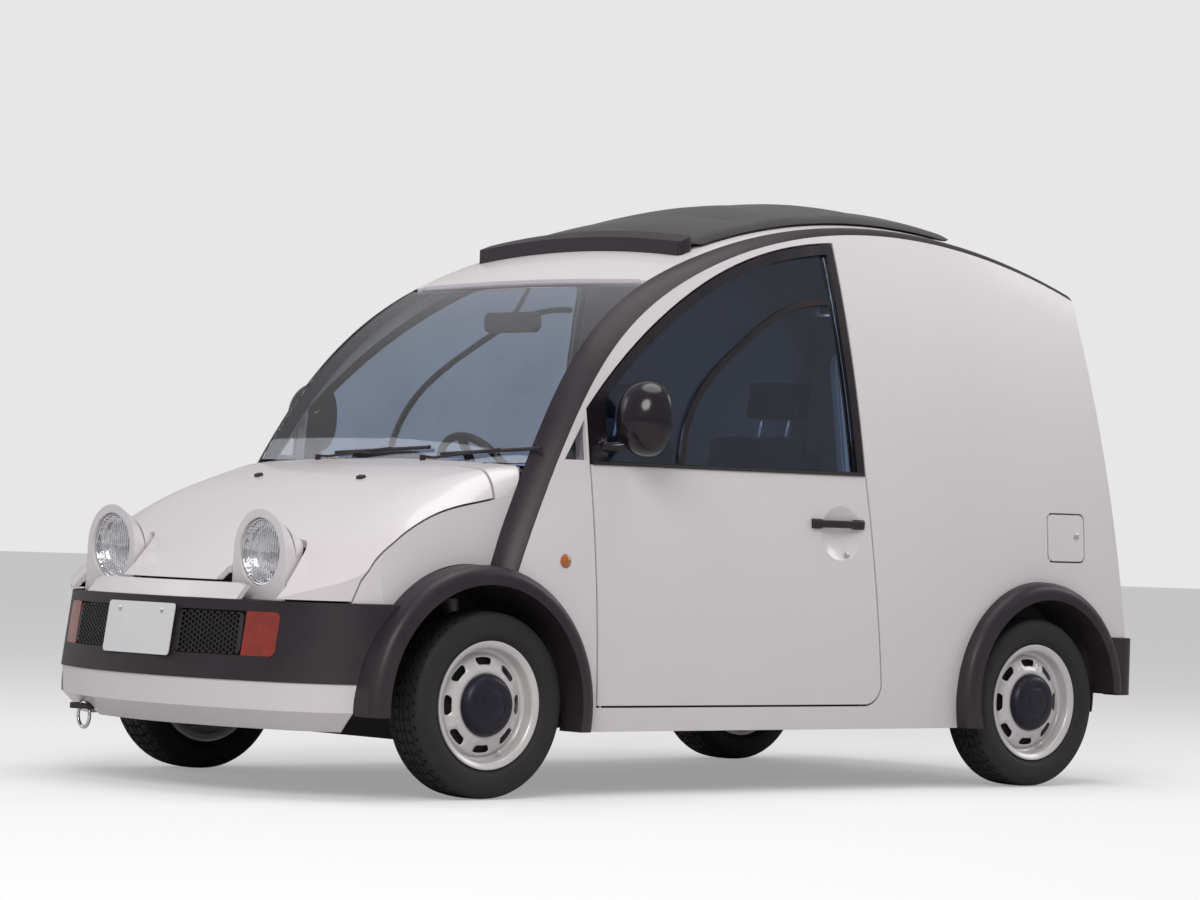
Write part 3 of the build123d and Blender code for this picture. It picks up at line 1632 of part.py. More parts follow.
# ---- Rear bumper, with the lamps let into it ----
rear_bumper_half = 758
rear_bumper_curve = 16000
rear_bumper_corner = 70
rear_bumper_back = -1540
rear_bumper_wall = 60
rear_lamp_x = 560
rear_lamp_width = 190
rear_lamp_height = 92
rear_lamp_depth = 20
rear_lamp_corner = 16


def rear_form(inset):
    """Solid inside the rear bumper's outline, moved inwards by an inset."""
    with BuildPart() as solid:
        with BuildSketch(Plane.XY.offset(rear_bumper_low)):
            add(
                nose_outline(
                    inset - tail_end,
                    rear_bumper_half - inset,
                    rear_bumper_curve - inset,
                    rear_bumper_corner - inset,
                    rear_bumper_back,
                    -1,
                )
            )
        extrude(amount=rear_bumper_high - rear_bumper_low)
    return solid.part


def rear_lamp_block(gap):
    """Block through the bumper at the left lamp."""
    with BuildPart() as block:
        with BuildSketch(Plane.XZ.offset(-tail_end)):
            with Locations((rear_lamp_x, (rear_bumper_low + rear_bumper_high) / 2)):
                RectangleRounded(
                    rear_lamp_width - 2 * gap, rear_lamp_height - 2 * gap, rear_lamp_corner - gap
                )
        extrude(amount=2 * rear_bumper_wall)
    return block.part


with BuildPart() as lamp_pocket:
    add(rear_lamp_block(0))
    add(rear_form(rear_lamp_depth), mode=Mode.SUBTRACT)
with BuildPart() as rear_bumper:
    add(rear_form(0))
    add(rear_form(rear_bumper_wall), mode=Mode.SUBTRACT)
    with BuildSketch(Plane.YZ):
        with Locations((rear_arch_y, rear_arch_z)):
            Circle(rear_arch_radius)
    extrude(amount=flare_reach, both=True, mode=Mode.SUBTRACT)
    add(lamp_pocket.part, mode=Mode.SUBTRACT)
    mirror(lamp_pocket.part, about=Plane.YZ, mode=Mode.SUBTRACT)
keep(rear_bumper.part, "rear_bumper")

with BuildPart() as rear_lamp_left:
    add(rear_lamp_block(seam))
    add(rear_form(0), mode=Mode.INTERSECT)
    add(rear_form(rear_lamp_depth), mode=Mode.SUBTRACT)
with BuildPart() as rear_lamps:
    add(rear_lamp_left.part)
    mirror(rear_lamp_left.part, about=Plane.YZ)
keep(rear_lamps.part, "rear_lamps")

# ---- Tailgate with its window and number plate ----
tailgate_low = 490
tailgate_window_z = (960, 1424)
tailgate_window_half = 520
tailgate_window_corner = 60
tailgate_glass_inset = 12
tailgate_notch_radius = 40
tailgate_notch_gap = 6
tail_plate_z = 640


def tailgate_window(gap):
    """Block through the tailgate at its window."""
    with BuildPart() as block:
        with BuildSketch(Plane.XZ.offset(-tail_end)):
            with Locations((0, sum(tailgate_window_z) / 2)):
                RectangleRounded(
                    2 * (tailgate_window_half - gap),
                    tailgate_window_z[1] - tailgate_window_z[0] - 2 * gap,
                    tailgate_window_corner - gap,
                )
        extrude(amount=tail_end - rear_axle_y)
    return block.part


with BuildPart() as tailgate:
    add(tail_block)
    add(tail_core, mode=Mode.SUBTRACT)
    add(inside_walls(wall_thickness + door_gap), mode=Mode.INTERSECT)
    with BuildSketch(Plane.XZ.offset(-tail_end)):
        with Locations((0, (tailgate_low + tailgate_top) / 2)):
            Rectangle(2 * body_half_width, tailgate_top - tailgate_low)
    extrude(amount=tail_end - rear_axle_y, mode=Mode.INTERSECT)
    add(tailgate_window(0), mode=Mode.SUBTRACT)
    # notches for the roof's hinge lugs, each with its pin
    for sign in (1, -1):
        with BuildSketch(Plane.YZ.offset(sign * hinge_lug_x)):
            with Locations((tailgate_pin_y, tailgate_pin_z)):
                Circle(tailgate_notch_radius)
        extrude(amount=hinge_lug_width / 2 + tailgate_notch_gap, both=True, mode=Mode.SUBTRACT)
        with Locations(Plane.YZ.offset(sign * hinge_lug_x)):
            with Locations((tailgate_pin_y, tailgate_pin_z)):
                Cylinder(hinge_pin_radius, hinge_lug_width + 4 * tailgate_notch_gap)
keep(tailgate.part, "tailgate")

with BuildPart() as tailgate_glass:
    add(tail_form(tailgate_glass_inset))
    add(tail_form(tailgate_glass_inset + glass_thickness), mode=Mode.SUBTRACT)
    add(tailgate_window(seat_gap), mode=Mode.INTERSECT)
keep(tailgate_glass.part, "tailgate_glass")

with BuildPart() as number_plate_rear:
    with BuildSketch(
        Plane(
            origin=(0, tail_y(tail_plate_z) + tail_crown + seat_gap, tail_plate_z),
            x_dir=(-1, 0, 0),
            z_dir=(0, 1, tail_slope),
        )
    ):
        RectangleRounded(plate_width, plate_height, plate_corner)
    extrude(amount=plate_thickness)
keep(number_plate_rear.part, "number_plate_rear")

# ---- Fuel lid, with its hinge pin ----
with BuildPart() as fuel_lid:
    with BuildSketch(Plane.XZ.offset(-tail_end)):
        add(side_band(0, fuel_lid_thickness, sill_bottom, section_top))
    extrude(amount=tail_end - side_front)
    with BuildSketch(Plane.YZ):
        with Locations((sum(fuel_lid_y) / 2, sum(fuel_lid_z) / 2)):
            RectangleRounded(fuel_lid_y[1] - fuel_lid_y[0], fuel_lid_z[1] - fuel_lid_z[0], fuel_lid_corner)
    extrude(amount=flare_reach, mode=Mode.INTERSECT)
    add(fuel_pin(fuel_pin_radius, fuel_pin_length))
keep(fuel_lid.part, "fuel_lid")

# ---- Doors ----
recess_y = 370
recess_z = 808
recess_radius = 85
recess_depth = 16
window_front = -575
window_low = 984
divider_points = [(-278, 984), (-191, 1195), (2, 1356), (230, 1482), (400, 1509)]
divider_width = 18
handle_y = (243, 461)
handle_z = (806, 836)
handle_reach = 14
mirror_x = 812
mirror_z = 1113
mirror_width = 180
mirror_height = 228
mirror_y = (-550, -488)
mirror_corner = 84
mirror_round = 42
mirror_arm_radius = 15
seat_depth = 4
mirror_arm_foot = (-600, 1021)
mirror_arm_top = (772, -525, 1043)
divider_rise = 11


def door_layer(inset, thickness, outline_inset):
    """One layer of the left door: a band along the skin, inside the door's outline."""
    with BuildPart() as layer:
        with BuildSketch(Plane.XZ.offset(-tail_end)):
            add(side_band(inset, thickness, sill_bottom, section_top))
        extrude(amount=tail_end - side_front)
        with BuildSketch(Plane.YZ):
            add(door_outline())
            if outline_inset:
                offset(amount=-outline_inset)
        extrude(amount=flare_reach, mode=Mode.INTERSECT)
    return layer.part


def door_window(gap):
    """Outline of the door's window, inside the frame and behind the mirror's panel."""
    with BuildSketch() as profile:
        add(door_outline())
        offset(amount=-window_frame_width - gap)
        with Locations((door_foot_front[0], window_low + gap - tail_end / 2)):
            Rectangle(2 * overall_length, tail_end, mode=Mode.SUBTRACT)
        with Locations((window_front + gap - overall_length / 2, window_low)):
            Rectangle(overall_length, tail_end, mode=Mode.SUBTRACT)
    return profile.sketch


with BuildPart() as door_whole:
    add(door_layer(0, door_skin, 0))
    add(door_layer(door_skin, wall_thickness - 2 * door_gap - door_skin, door_step))

with BuildPart() as door_left:
    add(door_whole.part)
    with BuildSketch(Plane.XY.offset(belt_height)):
        Rectangle(2 * flare_reach, overall_length)
    extrude(amount=tail_end, mode=Mode.SUBTRACT)
    # round hollow behind the handle
    hollow = (recess_radius**2 + recess_depth**2) / (2 * recess_depth)
    with Locations((side_x(recess_z) + hollow - recess_depth, recess_y, recess_z)):
        Sphere(hollow, mode=Mode.SUBTRACT)
    add(
        rod(
            (door_pin_x, door_pin_y, door_foot_front[1] - door_gap - sill_pin_depth + 1),
            (door_pin_x, door_pin_y, door_foot_front[1] + 2 * door_step),
            door_pin_radius,
        )
    )
keep(door_left.part, "door_left")

with BuildPart() as door_right:
    mirror(door_left.part, about=Plane.YZ)
keep(door_right.part, "door_right")

with BuildPart() as window_frame:
    add(door_whole.part)
    with BuildSketch(Plane.XY.offset(belt_height)):
        Rectangle(2 * flare_reach, overall_length)
    extrude(amount=-belt_height, mode=Mode.SUBTRACT)
    with BuildSketch(Plane.YZ):
        add(door_window(0))
    extrude(amount=flare_reach, mode=Mode.SUBTRACT)

with BuildPart() as window_divider:
    with BuildSketch(Plane.XZ.offset(-tail_end)):
        add(side_band(glass_inset - divider_rise, divider_rise, belt_height, section_top))
    extrude(amount=tail_end - side_front)
    with BuildSketch(Plane.YZ):
        with BuildLine():
            Spline(*divider_points)
        trace(line_width=divider_width)
        add(door_window(0), mode=Mode.INTERSECT)
    extrude(amount=flare_reach, mode=Mode.INTERSECT)

with BuildPart() as door_handle:
    with BuildSketch(Plane.XZ.offset(-tail_end)):
        add(side_band(-handle_reach, handle_reach, sill_bottom, section_top))
    extrude(amount=tail_end - side_front)
    with BuildSketch(Plane.YZ):
        with Locations((sum(handle_y) / 2, sum(handle_z) / 2)):
            SlotOverall(handle_y[1] - handle_y[0], handle_z[1] - handle_z[0])
    extrude(amount=flare_reach + handle_reach, mode=Mode.INTERSECT)

with BuildPart() as door_mirror:
    with BuildSketch(Plane.XZ.offset(-mirror_y[1])):
        with Locations((mirror_x, mirror_z)):
            RectangleRounded(mirror_width, mirror_height, mirror_corner)
    extrude(amount=mirror_y[1] - mirror_y[0])
    fillet(door_mirror.faces().sort_by(Axis.Y)[0].edges(), mirror_round)
    add(rod((side_x(mirror_z) - seat_depth, *mirror_arm_foot), mirror_arm_top, mirror_arm_radius))

with BuildPart() as door_trim_left:
    add(window_frame.part)
    add(window_divider.part)
    add(door_handle.part)
    add(door_mirror.part)
keep(door_trim_left.part, "door_trim_left")

with BuildPart() as door_trim_right:
    mirror(door_trim_left.part, about=Plane.YZ)
keep(door_trim_right.part, "door_trim_right")

with BuildPart() as door_glass_left:
    with BuildSketch(Plane.XZ.offset(-tail_end)):
        add(side_band(glass_inset, glass_thickness, belt_height, section_top))
    extrude(amount=tail_end - side_front)
    with BuildSketch(Plane.YZ):
        add(door_window(seat_gap))
    extrude(amount=flare_reach, mode=Mode.INTERSECT)
keep(door_glass_left.part, "door_glass_left")

with BuildPart() as door_glass_right:
    mirror(door_glass_left.part, about=Plane.YZ)
keep(door_glass_right.part, "door_glass_right")

# ---- Dashboard with the steering column's boss ----
dash_half_width = 620
# sections in side view: the moulding, and a rib between it and the cross tube
dash_top = [(-790, 945), (-560, 950), (-450, 915), (-425, 760), (-470, 640)]
dash_back = [(-490, 640), (-450, 755), (-472, 900), (-560, 925), (-790, 920)]
dash_section = dash_top + dash_back
dash_rib = [(-780, 922), (-560, 927), (-680, 785), (-720, 785)]
dash_rib_x = (100, 560)
dash_rib_thickness = 6
cross_tube_y = -700
cross_tube_z = 800
cross_tube_radius = 20
steering_x = -330
steering_centre = (steering_x, -200, 905)
steering_rake = 28
column_radius = 12
column_boss_radius = 30
column_boss_reach = (225, 330)
steering_axis = Vector(0, cos(radians(steering_rake)), sin(radians(steering_rake)))


def on_column(reach):
    """Point of the steering column at a reach below the steering wheel."""
    return tuple(Vector(*steering_centre) - steering_axis * reach)


with BuildPart() as dashboard:
    with BuildSketch(Plane.YZ):
        Polygon(*dash_section, align=None)
    extrude(amount=dash_half_width, both=True)
    for rib_x in dash_rib_x:
        for sign in (1, -1):
            with BuildSketch(Plane.YZ.offset(sign * rib_x)):
                Polygon(*dash_rib, align=None)
            extrude(amount=dash_rib_thickness / 2, both=True)
    with Locations(Plane.YZ):
        with Locations((cross_tube_y, cross_tube_z)):
            Cylinder(cross_tube_radius, 2 * body_half_width)
    add(cabin_space, mode=Mode.INTERSECT)
    add(rod(on_column(column_boss_reach[0]), on_column(column_boss_reach[1]), column_boss_radius))
    add(
        rod(
            on_column(column_boss_reach[0] - 1),
            on_column(column_boss_reach[1] + 1),
            column_radius + running_fit,
        ),
        mode=Mode.SUBTRACT,
    )
keep(dashboard.part, "dashboard")

# ---- Steering wheel with its column ----
steering_radius = 178
steering_grip = 13
steering_spokes = 3
steering_hub_radius = 52
steering_spoke_width = 26
steering_spoke_thickness = 18
column_end_gap = 5
with BuildPart() as steering_wheel:
    steering_plane = Plane(origin=steering_centre, x_dir=(1, 0, 0), z_dir=steering_axis)
    with Locations(steering_plane):
        Torus(steering_radius, steering_grip)
    with BuildSketch(steering_plane):
        Circle(steering_hub_radius)
        with PolarLocations(steering_radius / 2, steering_spokes, start_angle=-90):
            Rectangle(steering_radius, steering_spoke_width)
    extrude(amount=steering_spoke_thickness / 2, both=True)
    add(rod(steering_centre, on_column(column_boss_reach[1] - column_end_gap), column_radius))
keep(steering_wheel.part, "steering_wheel")

# ---- Seats ----
seat_cushion = [(-200, 400), (-200, 500), (-150, 545), (280, 520), (300, 402), (250, 400)]
seat_back_front = [(290, 480), (270, 530), (352, 1085), (392, 1118)]
seat_back = [*seat_back_front, (448, 1098), (452, 1050), (400, 560), (330, 470)]
headrest_section = [(405, 1150), (415, 1262), (470, 1266), (492, 1140)]
headrest_half = 125
post_radius = 7
post_foot = (425, 1080)
post_head = (447, 1180)
with BuildPart() as seat_left:
    with BuildSketch(Plane.YZ.offset(seat_x)):
        Polygon(*seat_cushion, align=None)
        Polygon(*seat_back, align=None)
    extrude(amount=seat_half_width, both=True)
    with BuildSketch(Plane.YZ.offset(seat_x)):
        Polygon(*headrest_section, align=None)
    extrude(amount=headrest_half, both=True)
    for side in (1, -1):
        post_x = seat_x + side * headrest_half / 2
        add(rod((post_x, *post_foot), (post_x, *post_head), post_radius))
with BuildPart() as seats:
    add(seat_left.part)
    mirror(seat_left.part, about=Plane.YZ)
keep(seats.part, "seats")

# ---- Wipers at the foot of the windscreen ----
wiper_pivots = (-330, 190)
wiper_arm = 330
wiper_reach = 40
wiper_boss_y = -850
wiper_boss_radius = 9
wiper_boss_height = 19
wiper_boss_sink = 4
wiper_arm_radius = 4
wiper_lift = 11
arm_rise = (6, 34)
wiper_blade = 450
blade_offset = 60
blade_rise = (20, 40)
blade_lift = 6.5
blade_radius = 5.5


def over_screen(height, lift):
    """Place along the van and height of a point lifted off the windscreen."""
    y, z, heading = arch_place(arch_share(height, 1))
    return y - lift * sin(heading), z + lift * cos(heading)


def cowl_height(place_x):
    """Height of the cowl at the wiper bosses."""
    rear, front = nose_stations[0], nose_stations[1]
    share = (wiper_boss_y - rear[0]) / (front[0] - rear[0])
    middle = rear[6] + (front[6] - rear[6]) * share
    shoulder_x = rear[4] + (front[4] - rear[4]) * share
    shoulder_z = rear[5] + (front[5] - rear[5]) * share
    return middle - (middle - shoulder_z) * (place_x / shoulder_x) ** 2


with BuildPart() as wipers:
    for pivot_x in wiper_pivots:
        boss_low = cowl_height(pivot_x) - wiper_boss_sink
        boss_high = boss_low + wiper_boss_height
        elbow = (pivot_x + wiper_reach, *over_screen(screen_base + arm_rise[0], wiper_lift))
        arm_end = (pivot_x + wiper_arm, *over_screen(screen_base + arm_rise[1], wiper_lift))
        blade_start = (pivot_x + blade_offset, *over_screen(screen_base + blade_rise[0], blade_lift))
        blade_end = (
            pivot_x + blade_offset + wiper_blade,
            *over_screen(screen_base + blade_rise[1], blade_lift),
        )
        pivot = (pivot_x, wiper_boss_y, boss_high - wiper_boss_sink)
        add(rod((pivot_x, wiper_boss_y, boss_low), (pivot_x, wiper_boss_y, boss_high), wiper_boss_radius))
        add(rod(pivot, elbow, wiper_arm_radius))
        add(rod(elbow, arm_end, wiper_arm_radius))
        add(rod(blade_start, blade_end, blade_radius))
    # each boss sits on the cowl
    add(front_fenders.part, mode=Mode.SUBTRACT)
keep(wipers.part, "wipers")

# ---- Cabin mirror on its stalk ----
cabin_mirror_y = -359
cabin_mirror_z = 1413
cabin_stalk_y = -288
cabin_mirror_width = 250
cabin_mirror_height = 62
cabin_mirror_corner = 25
cabin_mirror_thickness = 24
stalk_radius = 7
stalk_sink = 4
with BuildPart() as cabin_mirror:
    with BuildSketch(Plane.XZ.offset(-cabin_mirror_y)):
        with Locations((0, cabin_mirror_z)):
            RectangleRounded(cabin_mirror_width, cabin_mirror_height, cabin_mirror_corner)
    extrude(amount=cabin_mirror_thickness / 2, both=True)
    stalk_z = arch_place(arch_share(cabin_stalk_y))[1]
    stalk_top = stalk_z - roof_thickness + roof_crown[0][1] + stalk_sink
    stalk_foot = (0, cabin_mirror_y + stalk_sink, cabin_mirror_z + cabin_mirror_height / 3)
    add(rod(stalk_foot, (0, cabin_stalk_y, stalk_top), stalk_radius))
    # the stalk's foot lies against the roof
    add(roof_panel.part, mode=Mode.SUBTRACT)
keep(cabin_mirror.part, "cabin_mirror")
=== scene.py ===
import json
import math
import bpy
import bmesh
from mathutils import Matrix, Vector, noise
from mathutils.bvhtree import BVHTree

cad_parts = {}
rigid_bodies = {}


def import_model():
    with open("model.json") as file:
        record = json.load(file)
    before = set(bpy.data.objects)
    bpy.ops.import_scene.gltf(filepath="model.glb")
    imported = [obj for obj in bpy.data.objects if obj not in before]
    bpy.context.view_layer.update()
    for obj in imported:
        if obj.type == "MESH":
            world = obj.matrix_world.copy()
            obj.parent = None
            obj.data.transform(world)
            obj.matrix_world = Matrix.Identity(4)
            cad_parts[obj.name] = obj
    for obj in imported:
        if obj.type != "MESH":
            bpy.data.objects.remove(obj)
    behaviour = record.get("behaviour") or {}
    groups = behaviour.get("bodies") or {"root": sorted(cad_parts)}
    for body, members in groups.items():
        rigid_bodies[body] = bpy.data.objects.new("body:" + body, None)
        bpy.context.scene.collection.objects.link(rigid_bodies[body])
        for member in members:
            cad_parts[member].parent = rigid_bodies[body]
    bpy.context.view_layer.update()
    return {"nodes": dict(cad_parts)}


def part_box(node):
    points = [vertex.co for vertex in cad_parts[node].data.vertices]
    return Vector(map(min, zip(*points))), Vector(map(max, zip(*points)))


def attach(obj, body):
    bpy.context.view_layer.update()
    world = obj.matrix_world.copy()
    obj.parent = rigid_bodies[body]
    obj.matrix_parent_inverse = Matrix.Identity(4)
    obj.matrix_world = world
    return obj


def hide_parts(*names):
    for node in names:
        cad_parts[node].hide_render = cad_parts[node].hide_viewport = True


for leftOver in list(bpy.data.objects):
    bpy.data.objects.remove(leftOver, do_unlink=True)

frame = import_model()
nodes = frame["nodes"]
scene = bpy.context.scene
scene.view_settings.view_transform = "Standard"
print("frame loaded with", len(nodes), "nodes")

mm = 0.001

# camera, floor and light
cameraView = {
    "place": (10.054, -8.653, 0.8007),
    "azimuth": 49.24,
    "elevation": -1.0,
    "roll": 1.81,
    "lens": 126.0,
    "sensor": 36.0,
}
cameraData = bpy.data.cameras.new("camera")
cameraData.lens = cameraView["lens"]
cameraData.sensor_width = cameraView["sensor"]
camera = bpy.data.objects.new("camera", cameraData)
scene.collection.objects.link(camera)
camera.matrix_world = (
    Matrix.Translation(cameraView["place"])
    @ Matrix.Rotation(math.radians(cameraView["azimuth"]), 4, "Z")
    @ Matrix.Rotation(math.radians(90 - cameraView["elevation"]), 4, "X")
    @ Matrix.Rotation(math.radians(cameraView["roll"]), 4, "Z")
)
scene.camera = camera

studio = {
    "floorRadius": 60,
    "floorSteps": 96,
    "floorColor": (0.60, 0.595, 0.60, 1),
    "floorRoughness": 0.75,
    "floorSpecular": 0.2,
    "floorGlow": 0.30,
    "backColor": (0.80, 0.80, 0.81, 1),
    "skyLight": 0.40,
    "aim": (0, 0, 0.6),
}


def seenRays(tree):
    # one where the camera looks, straight or through glass
    path = tree.nodes.new("ShaderNodeLightPath")
    either = tree.nodes.new("ShaderNodeMath")
    either.operation = "ADD"
    either.use_clamp = True
    tree.links.new(path.outputs["Is Camera Ray"], either.inputs[0])
    tree.links.new(path.outputs["Is Transmission Ray"], either.inputs[1])
    return either.outputs[0]


world = bpy.data.worlds.new("studio")
world.use_nodes = True
scene.world = world
worldTree = world.node_tree
backLight = worldTree.nodes["Background"]
backLight.inputs["Color"].default_value = (1, 1, 1, 1)
backLight.inputs["Strength"].default_value = studio["skyLight"]
backSeen = worldTree.nodes.new("ShaderNodeBackground")
backSeen.inputs["Color"].default_value = studio["backColor"]
backMix = worldTree.nodes.new("ShaderNodeMixShader")
worldTree.links.new(seenRays(worldTree), backMix.inputs[0])
worldTree.links.new(backLight.outputs[0], backMix.inputs[1])
worldTree.links.new(backSeen.outputs[0], backMix.inputs[2])
worldTree.links.new(backMix.outputs[0], worldTree.nodes["World Output"].inputs[0])

floorMesh = bpy.data.meshes.new("studioFloor")
floorShape = bmesh.new()
bmesh.ops.create_circle(
    floorShape, cap_ends=True, radius=studio["floorRadius"], segments=studio["floorSteps"]
)
floorShape.to_mesh(floorMesh)
floorShape.free()
floorPiece = bpy.data.objects.new("studioFloor", floorMesh)
scene.collection.objects.link(floorPiece)
floorPaint = bpy.data.materials.new("studioPaper")
floorPaint.use_nodes = True
floorTree = floorPaint.node_tree
floorShader = floorTree.nodes["Principled BSDF"]
floorShader.inputs["Base Color"].default_value = studio["floorColor"]
floorShader.inputs["Roughness"].default_value = studio["floorRoughness"]
floorShader.inputs["Specular IOR Level"].default_value = studio["floorSpecular"]
floorGlow = floorTree.nodes.new("ShaderNodeMath")
floorGlow.operation = "MULTIPLY"
floorGlow.inputs[1].default_value = studio["floorGlow"]
floorTree.links.new(seenRays(floorTree), floorGlow.inputs[0])
floorEmission = floorTree.nodes.new("ShaderNodeEmission")
floorTree.links.new(floorGlow.outputs[0], floorEmission.inputs["Strength"])
floorSum = floorTree.nodes.new("ShaderNodeAddShader")
floorTree.links.new(floorShader.outputs[0], floorSum.inputs[0])
floorTree.links.new(floorEmission.outputs[0], floorSum.inputs[1])
floorTree.links.new(floorSum.outputs[0], floorTree.nodes["Material Output"].inputs[0])
floorMesh.materials.append(floorPaint)

softLights = {
    "keyLight": {"place": (5.5, -6.5, 6.0), "size": 4.5, "power": 400, "color": (1.0, 0.985, 0.96)},
    "fillLight": {"place": (-6.0, -4.5, 4.0), "size": 4.0, "power": 60, "color": (0.93, 0.95, 1.0)},
    "topLight": {"place": (0.6, 0.4, 6.5), "size": 5.0, "power": 170, "color": (1.0, 0.99, 0.98)},
    "rearLight": {"place": (3.0, 7.0, 4.5), "size": 3.5, "power": 120, "color": (0.97, 0.97, 1.0)},
}
for lightName, light in softLights.items():
    lightData = bpy.data.lights.new(lightName, "AREA")
    lightData.shape = "DISK"
    lightData.size = light["size"]
    lightData.energy = light["power"]
    lightData.color = light["color"]
    lamp = bpy.data.objects.new(lightName, lightData)
    scene.collection.objects.link(lamp)
    aim = Vector(studio["aim"]) - Vector(light["place"])
    lamp.location = light["place"]
    lamp.rotation_mode = "QUATERNION"
    lamp.rotation_quaternion = aim.to_track_quat("-Z", "Y")
print("camera, floor and lights placed")


# node groups shared by the finishes
def newGroup(name, inputs, outputs):
    group = bpy.data.node_groups.new(name, "ShaderNodeTree")
    for label, kind, value in inputs:
        socket = group.interface.new_socket(label, in_out="INPUT", socket_type=kind)
        socket.default_value = value
    for label, kind in outputs:
        group.interface.new_socket(label, in_out="OUTPUT", socket_type=kind)
    return group, group.nodes.new("NodeGroupInput"), group.nodes.new("NodeGroupOutput")


def addNode(tree, kind, settings=None, values=None):
    node = tree.nodes.new(kind)
    for key, value in (settings or {}).items():
        setattr(node, key, value)
    for key, value in (values or {}).items():
        node.inputs[key].default_value = value
    return node


def mathNode(tree, operation, first, second, clamp=False):
    node = addNode(tree, "ShaderNodeMath", {"operation": operation, "use_clamp": clamp})
    for index, value in enumerate((first, second)):
        if isinstance(value, (int, float)):
            node.inputs[index].default_value = value
        else:
            tree.links.new(value, node.inputs[index])
    return node.outputs[0]


# cloudy change of tone over a surface
cloudGroup, groupIn, groupOut = newGroup(
    "cloudTone",
    [("Size", "NodeSocketFloat", 3.0), ("Contrast", "NodeSocketFloat", 1.0)],
    [("Mask", "NodeSocketFloat")],
)
coordinates = addNode(cloudGroup, "ShaderNodeTexCoord")
cloud = addNode(cloudGroup, "ShaderNodeTexNoise", values={"Detail": 5.0, "Roughness": 0.55})
cloudGroup.links.new(coordinates.outputs["Object"], cloud.inputs["Vector"])
cloudGroup.links.new(groupIn.outputs["Size"], cloud.inputs["Scale"])
centred = mathNode(cloudGroup, "SUBTRACT", cloud.outputs["Fac"], 0.5)
spreadOut = mathNode(cloudGroup, "MULTIPLY", centred, groupIn.outputs["Contrast"])
cloudGroup.links.new(mathNode(cloudGroup, "ADD", spreadOut, 0.5, True), groupOut.inputs["Mask"])

# dust that gathers low down and in patches
dustGroup, groupIn, groupOut = newGroup(
    "lowDust",
    [("Height", "NodeSocketFloat", 0.5), ("Amount", "NodeSocketFloat", 0.3)],
    [("Mask", "NodeSocketFloat")],
)
coordinates = addNode(dustGroup, "ShaderNodeTexCoord")
axes = addNode(dustGroup, "ShaderNodeSeparateXYZ")
dustGroup.links.new(coordinates.outputs["Object"], axes.inputs[0])
patches = addNode(dustGroup, "ShaderNodeTexNoise", values={"Scale": 9.0, "Detail": 6.0, "Roughness": 0.6})
dustGroup.links.new(coordinates.outputs["Object"], patches.inputs["Vector"])
lowShare = mathNode(dustGroup, "DIVIDE", axes.outputs["Z"], groupIn.outputs["Height"], True)
lowShare = mathNode(dustGroup, "SUBTRACT", 1.0, lowShare, True)
lowShare = mathNode(dustGroup, "MULTIPLY", lowShare, patches.outputs["Fac"])
dustGroup.links.new(
    mathNode(dustGroup, "MULTIPLY", lowShare, groupIn.outputs["Amount"], True), groupOut.inputs["Mask"]
)

# fine moulded or sprayed grain
grainGroup, groupIn, groupOut = newGroup(
    "fineGrain", [("Size", "NodeSocketFloat", 700.0)], [("Height", "NodeSocketFloat")]
)
coordinates = addNode(grainGroup, "ShaderNodeTexCoord")
grain = addNode(grainGroup, "ShaderNodeTexNoise", values={"Detail": 2.0, "Roughness": 0.5})
cells = addNode(grainGroup, "ShaderNodeTexVoronoi")
for texture in (grain, cells):
    grainGroup.links.new(coordinates.outputs["Object"], texture.inputs["Vector"])
    grainGroup.links.new(groupIn.outputs["Size"], texture.inputs["Scale"])
mixed = mathNode(grainGroup, "MULTIPLY", cells.outputs["Distance"], 0.4)
grainGroup.links.new(mathNode(grainGroup, "ADD", mixed, grain.outputs["Fac"]), groupOut.inputs["Height"])

# small rubbed marks
scuffGroup, groupIn, groupOut = newGroup(
    "smallScuffs",
    [("Size", "NodeSocketFloat", 24.0), ("Share", "NodeSocketFloat", 0.62)],
    [("Mask", "NodeSocketFloat")],
)
coordinates = addNode(scuffGroup, "ShaderNodeTexCoord")
stretched = addNode(scuffGroup, "ShaderNodeMapping", values={"Scale": (1.0, 0.35, 1.6)})
scuffGroup.links.new(coordinates.outputs["Object"], stretched.inputs["Vector"])
marks = addNode(scuffGroup, "ShaderNodeTexNoise", values={"Detail": 9.0, "Roughness": 0.7})
scuffGroup.links.new(stretched.outputs[0], marks.inputs["Vector"])
scuffGroup.links.new(groupIn.outputs["Size"], marks.inputs["Scale"])
over = mathNode(scuffGroup, "SUBTRACT", marks.outputs["Fac"], groupIn.outputs["Share"])
scuffGroup.links.new(mathNode(scuffGroup, "MULTIPLY", over, 9.0, True), groupOut.inputs["Mask"])

# plain weave of two threads, along X and along Y and Z together
weaveGroup, groupIn, groupOut = newGroup(
    "plainWeave",
    [("Threads", "NodeSocketFloat", 900.0)],
    [("Height", "NodeSocketFloat"), ("Mask", "NodeSocketFloat")],
)
coordinates = addNode(weaveGroup, "ShaderNodeTexCoord")
axes = addNode(weaveGroup, "ShaderNodeSeparateXYZ")
weaveGroup.links.new(coordinates.outputs["Object"], axes.inputs[0])
alongBody = mathNode(weaveGroup, "ADD", axes.outputs["Y"], axes.outputs["Z"])
threadWaves = []
for source in (axes.outputs["X"], alongBody):
    turned = mathNode(weaveGroup, "MULTIPLY", source, groupIn.outputs["Threads"])
    threadWaves.append(mathNode(weaveGroup, "SINE", turned, 0.0))
crossed = mathNode(weaveGroup, "MULTIPLY", threadWaves[0], threadWaves[1])
weaveGroup.links.new(crossed, groupOut.inputs["Height"])
shifted = mathNode(weaveGroup, "MULTIPLY", crossed, 0.5)
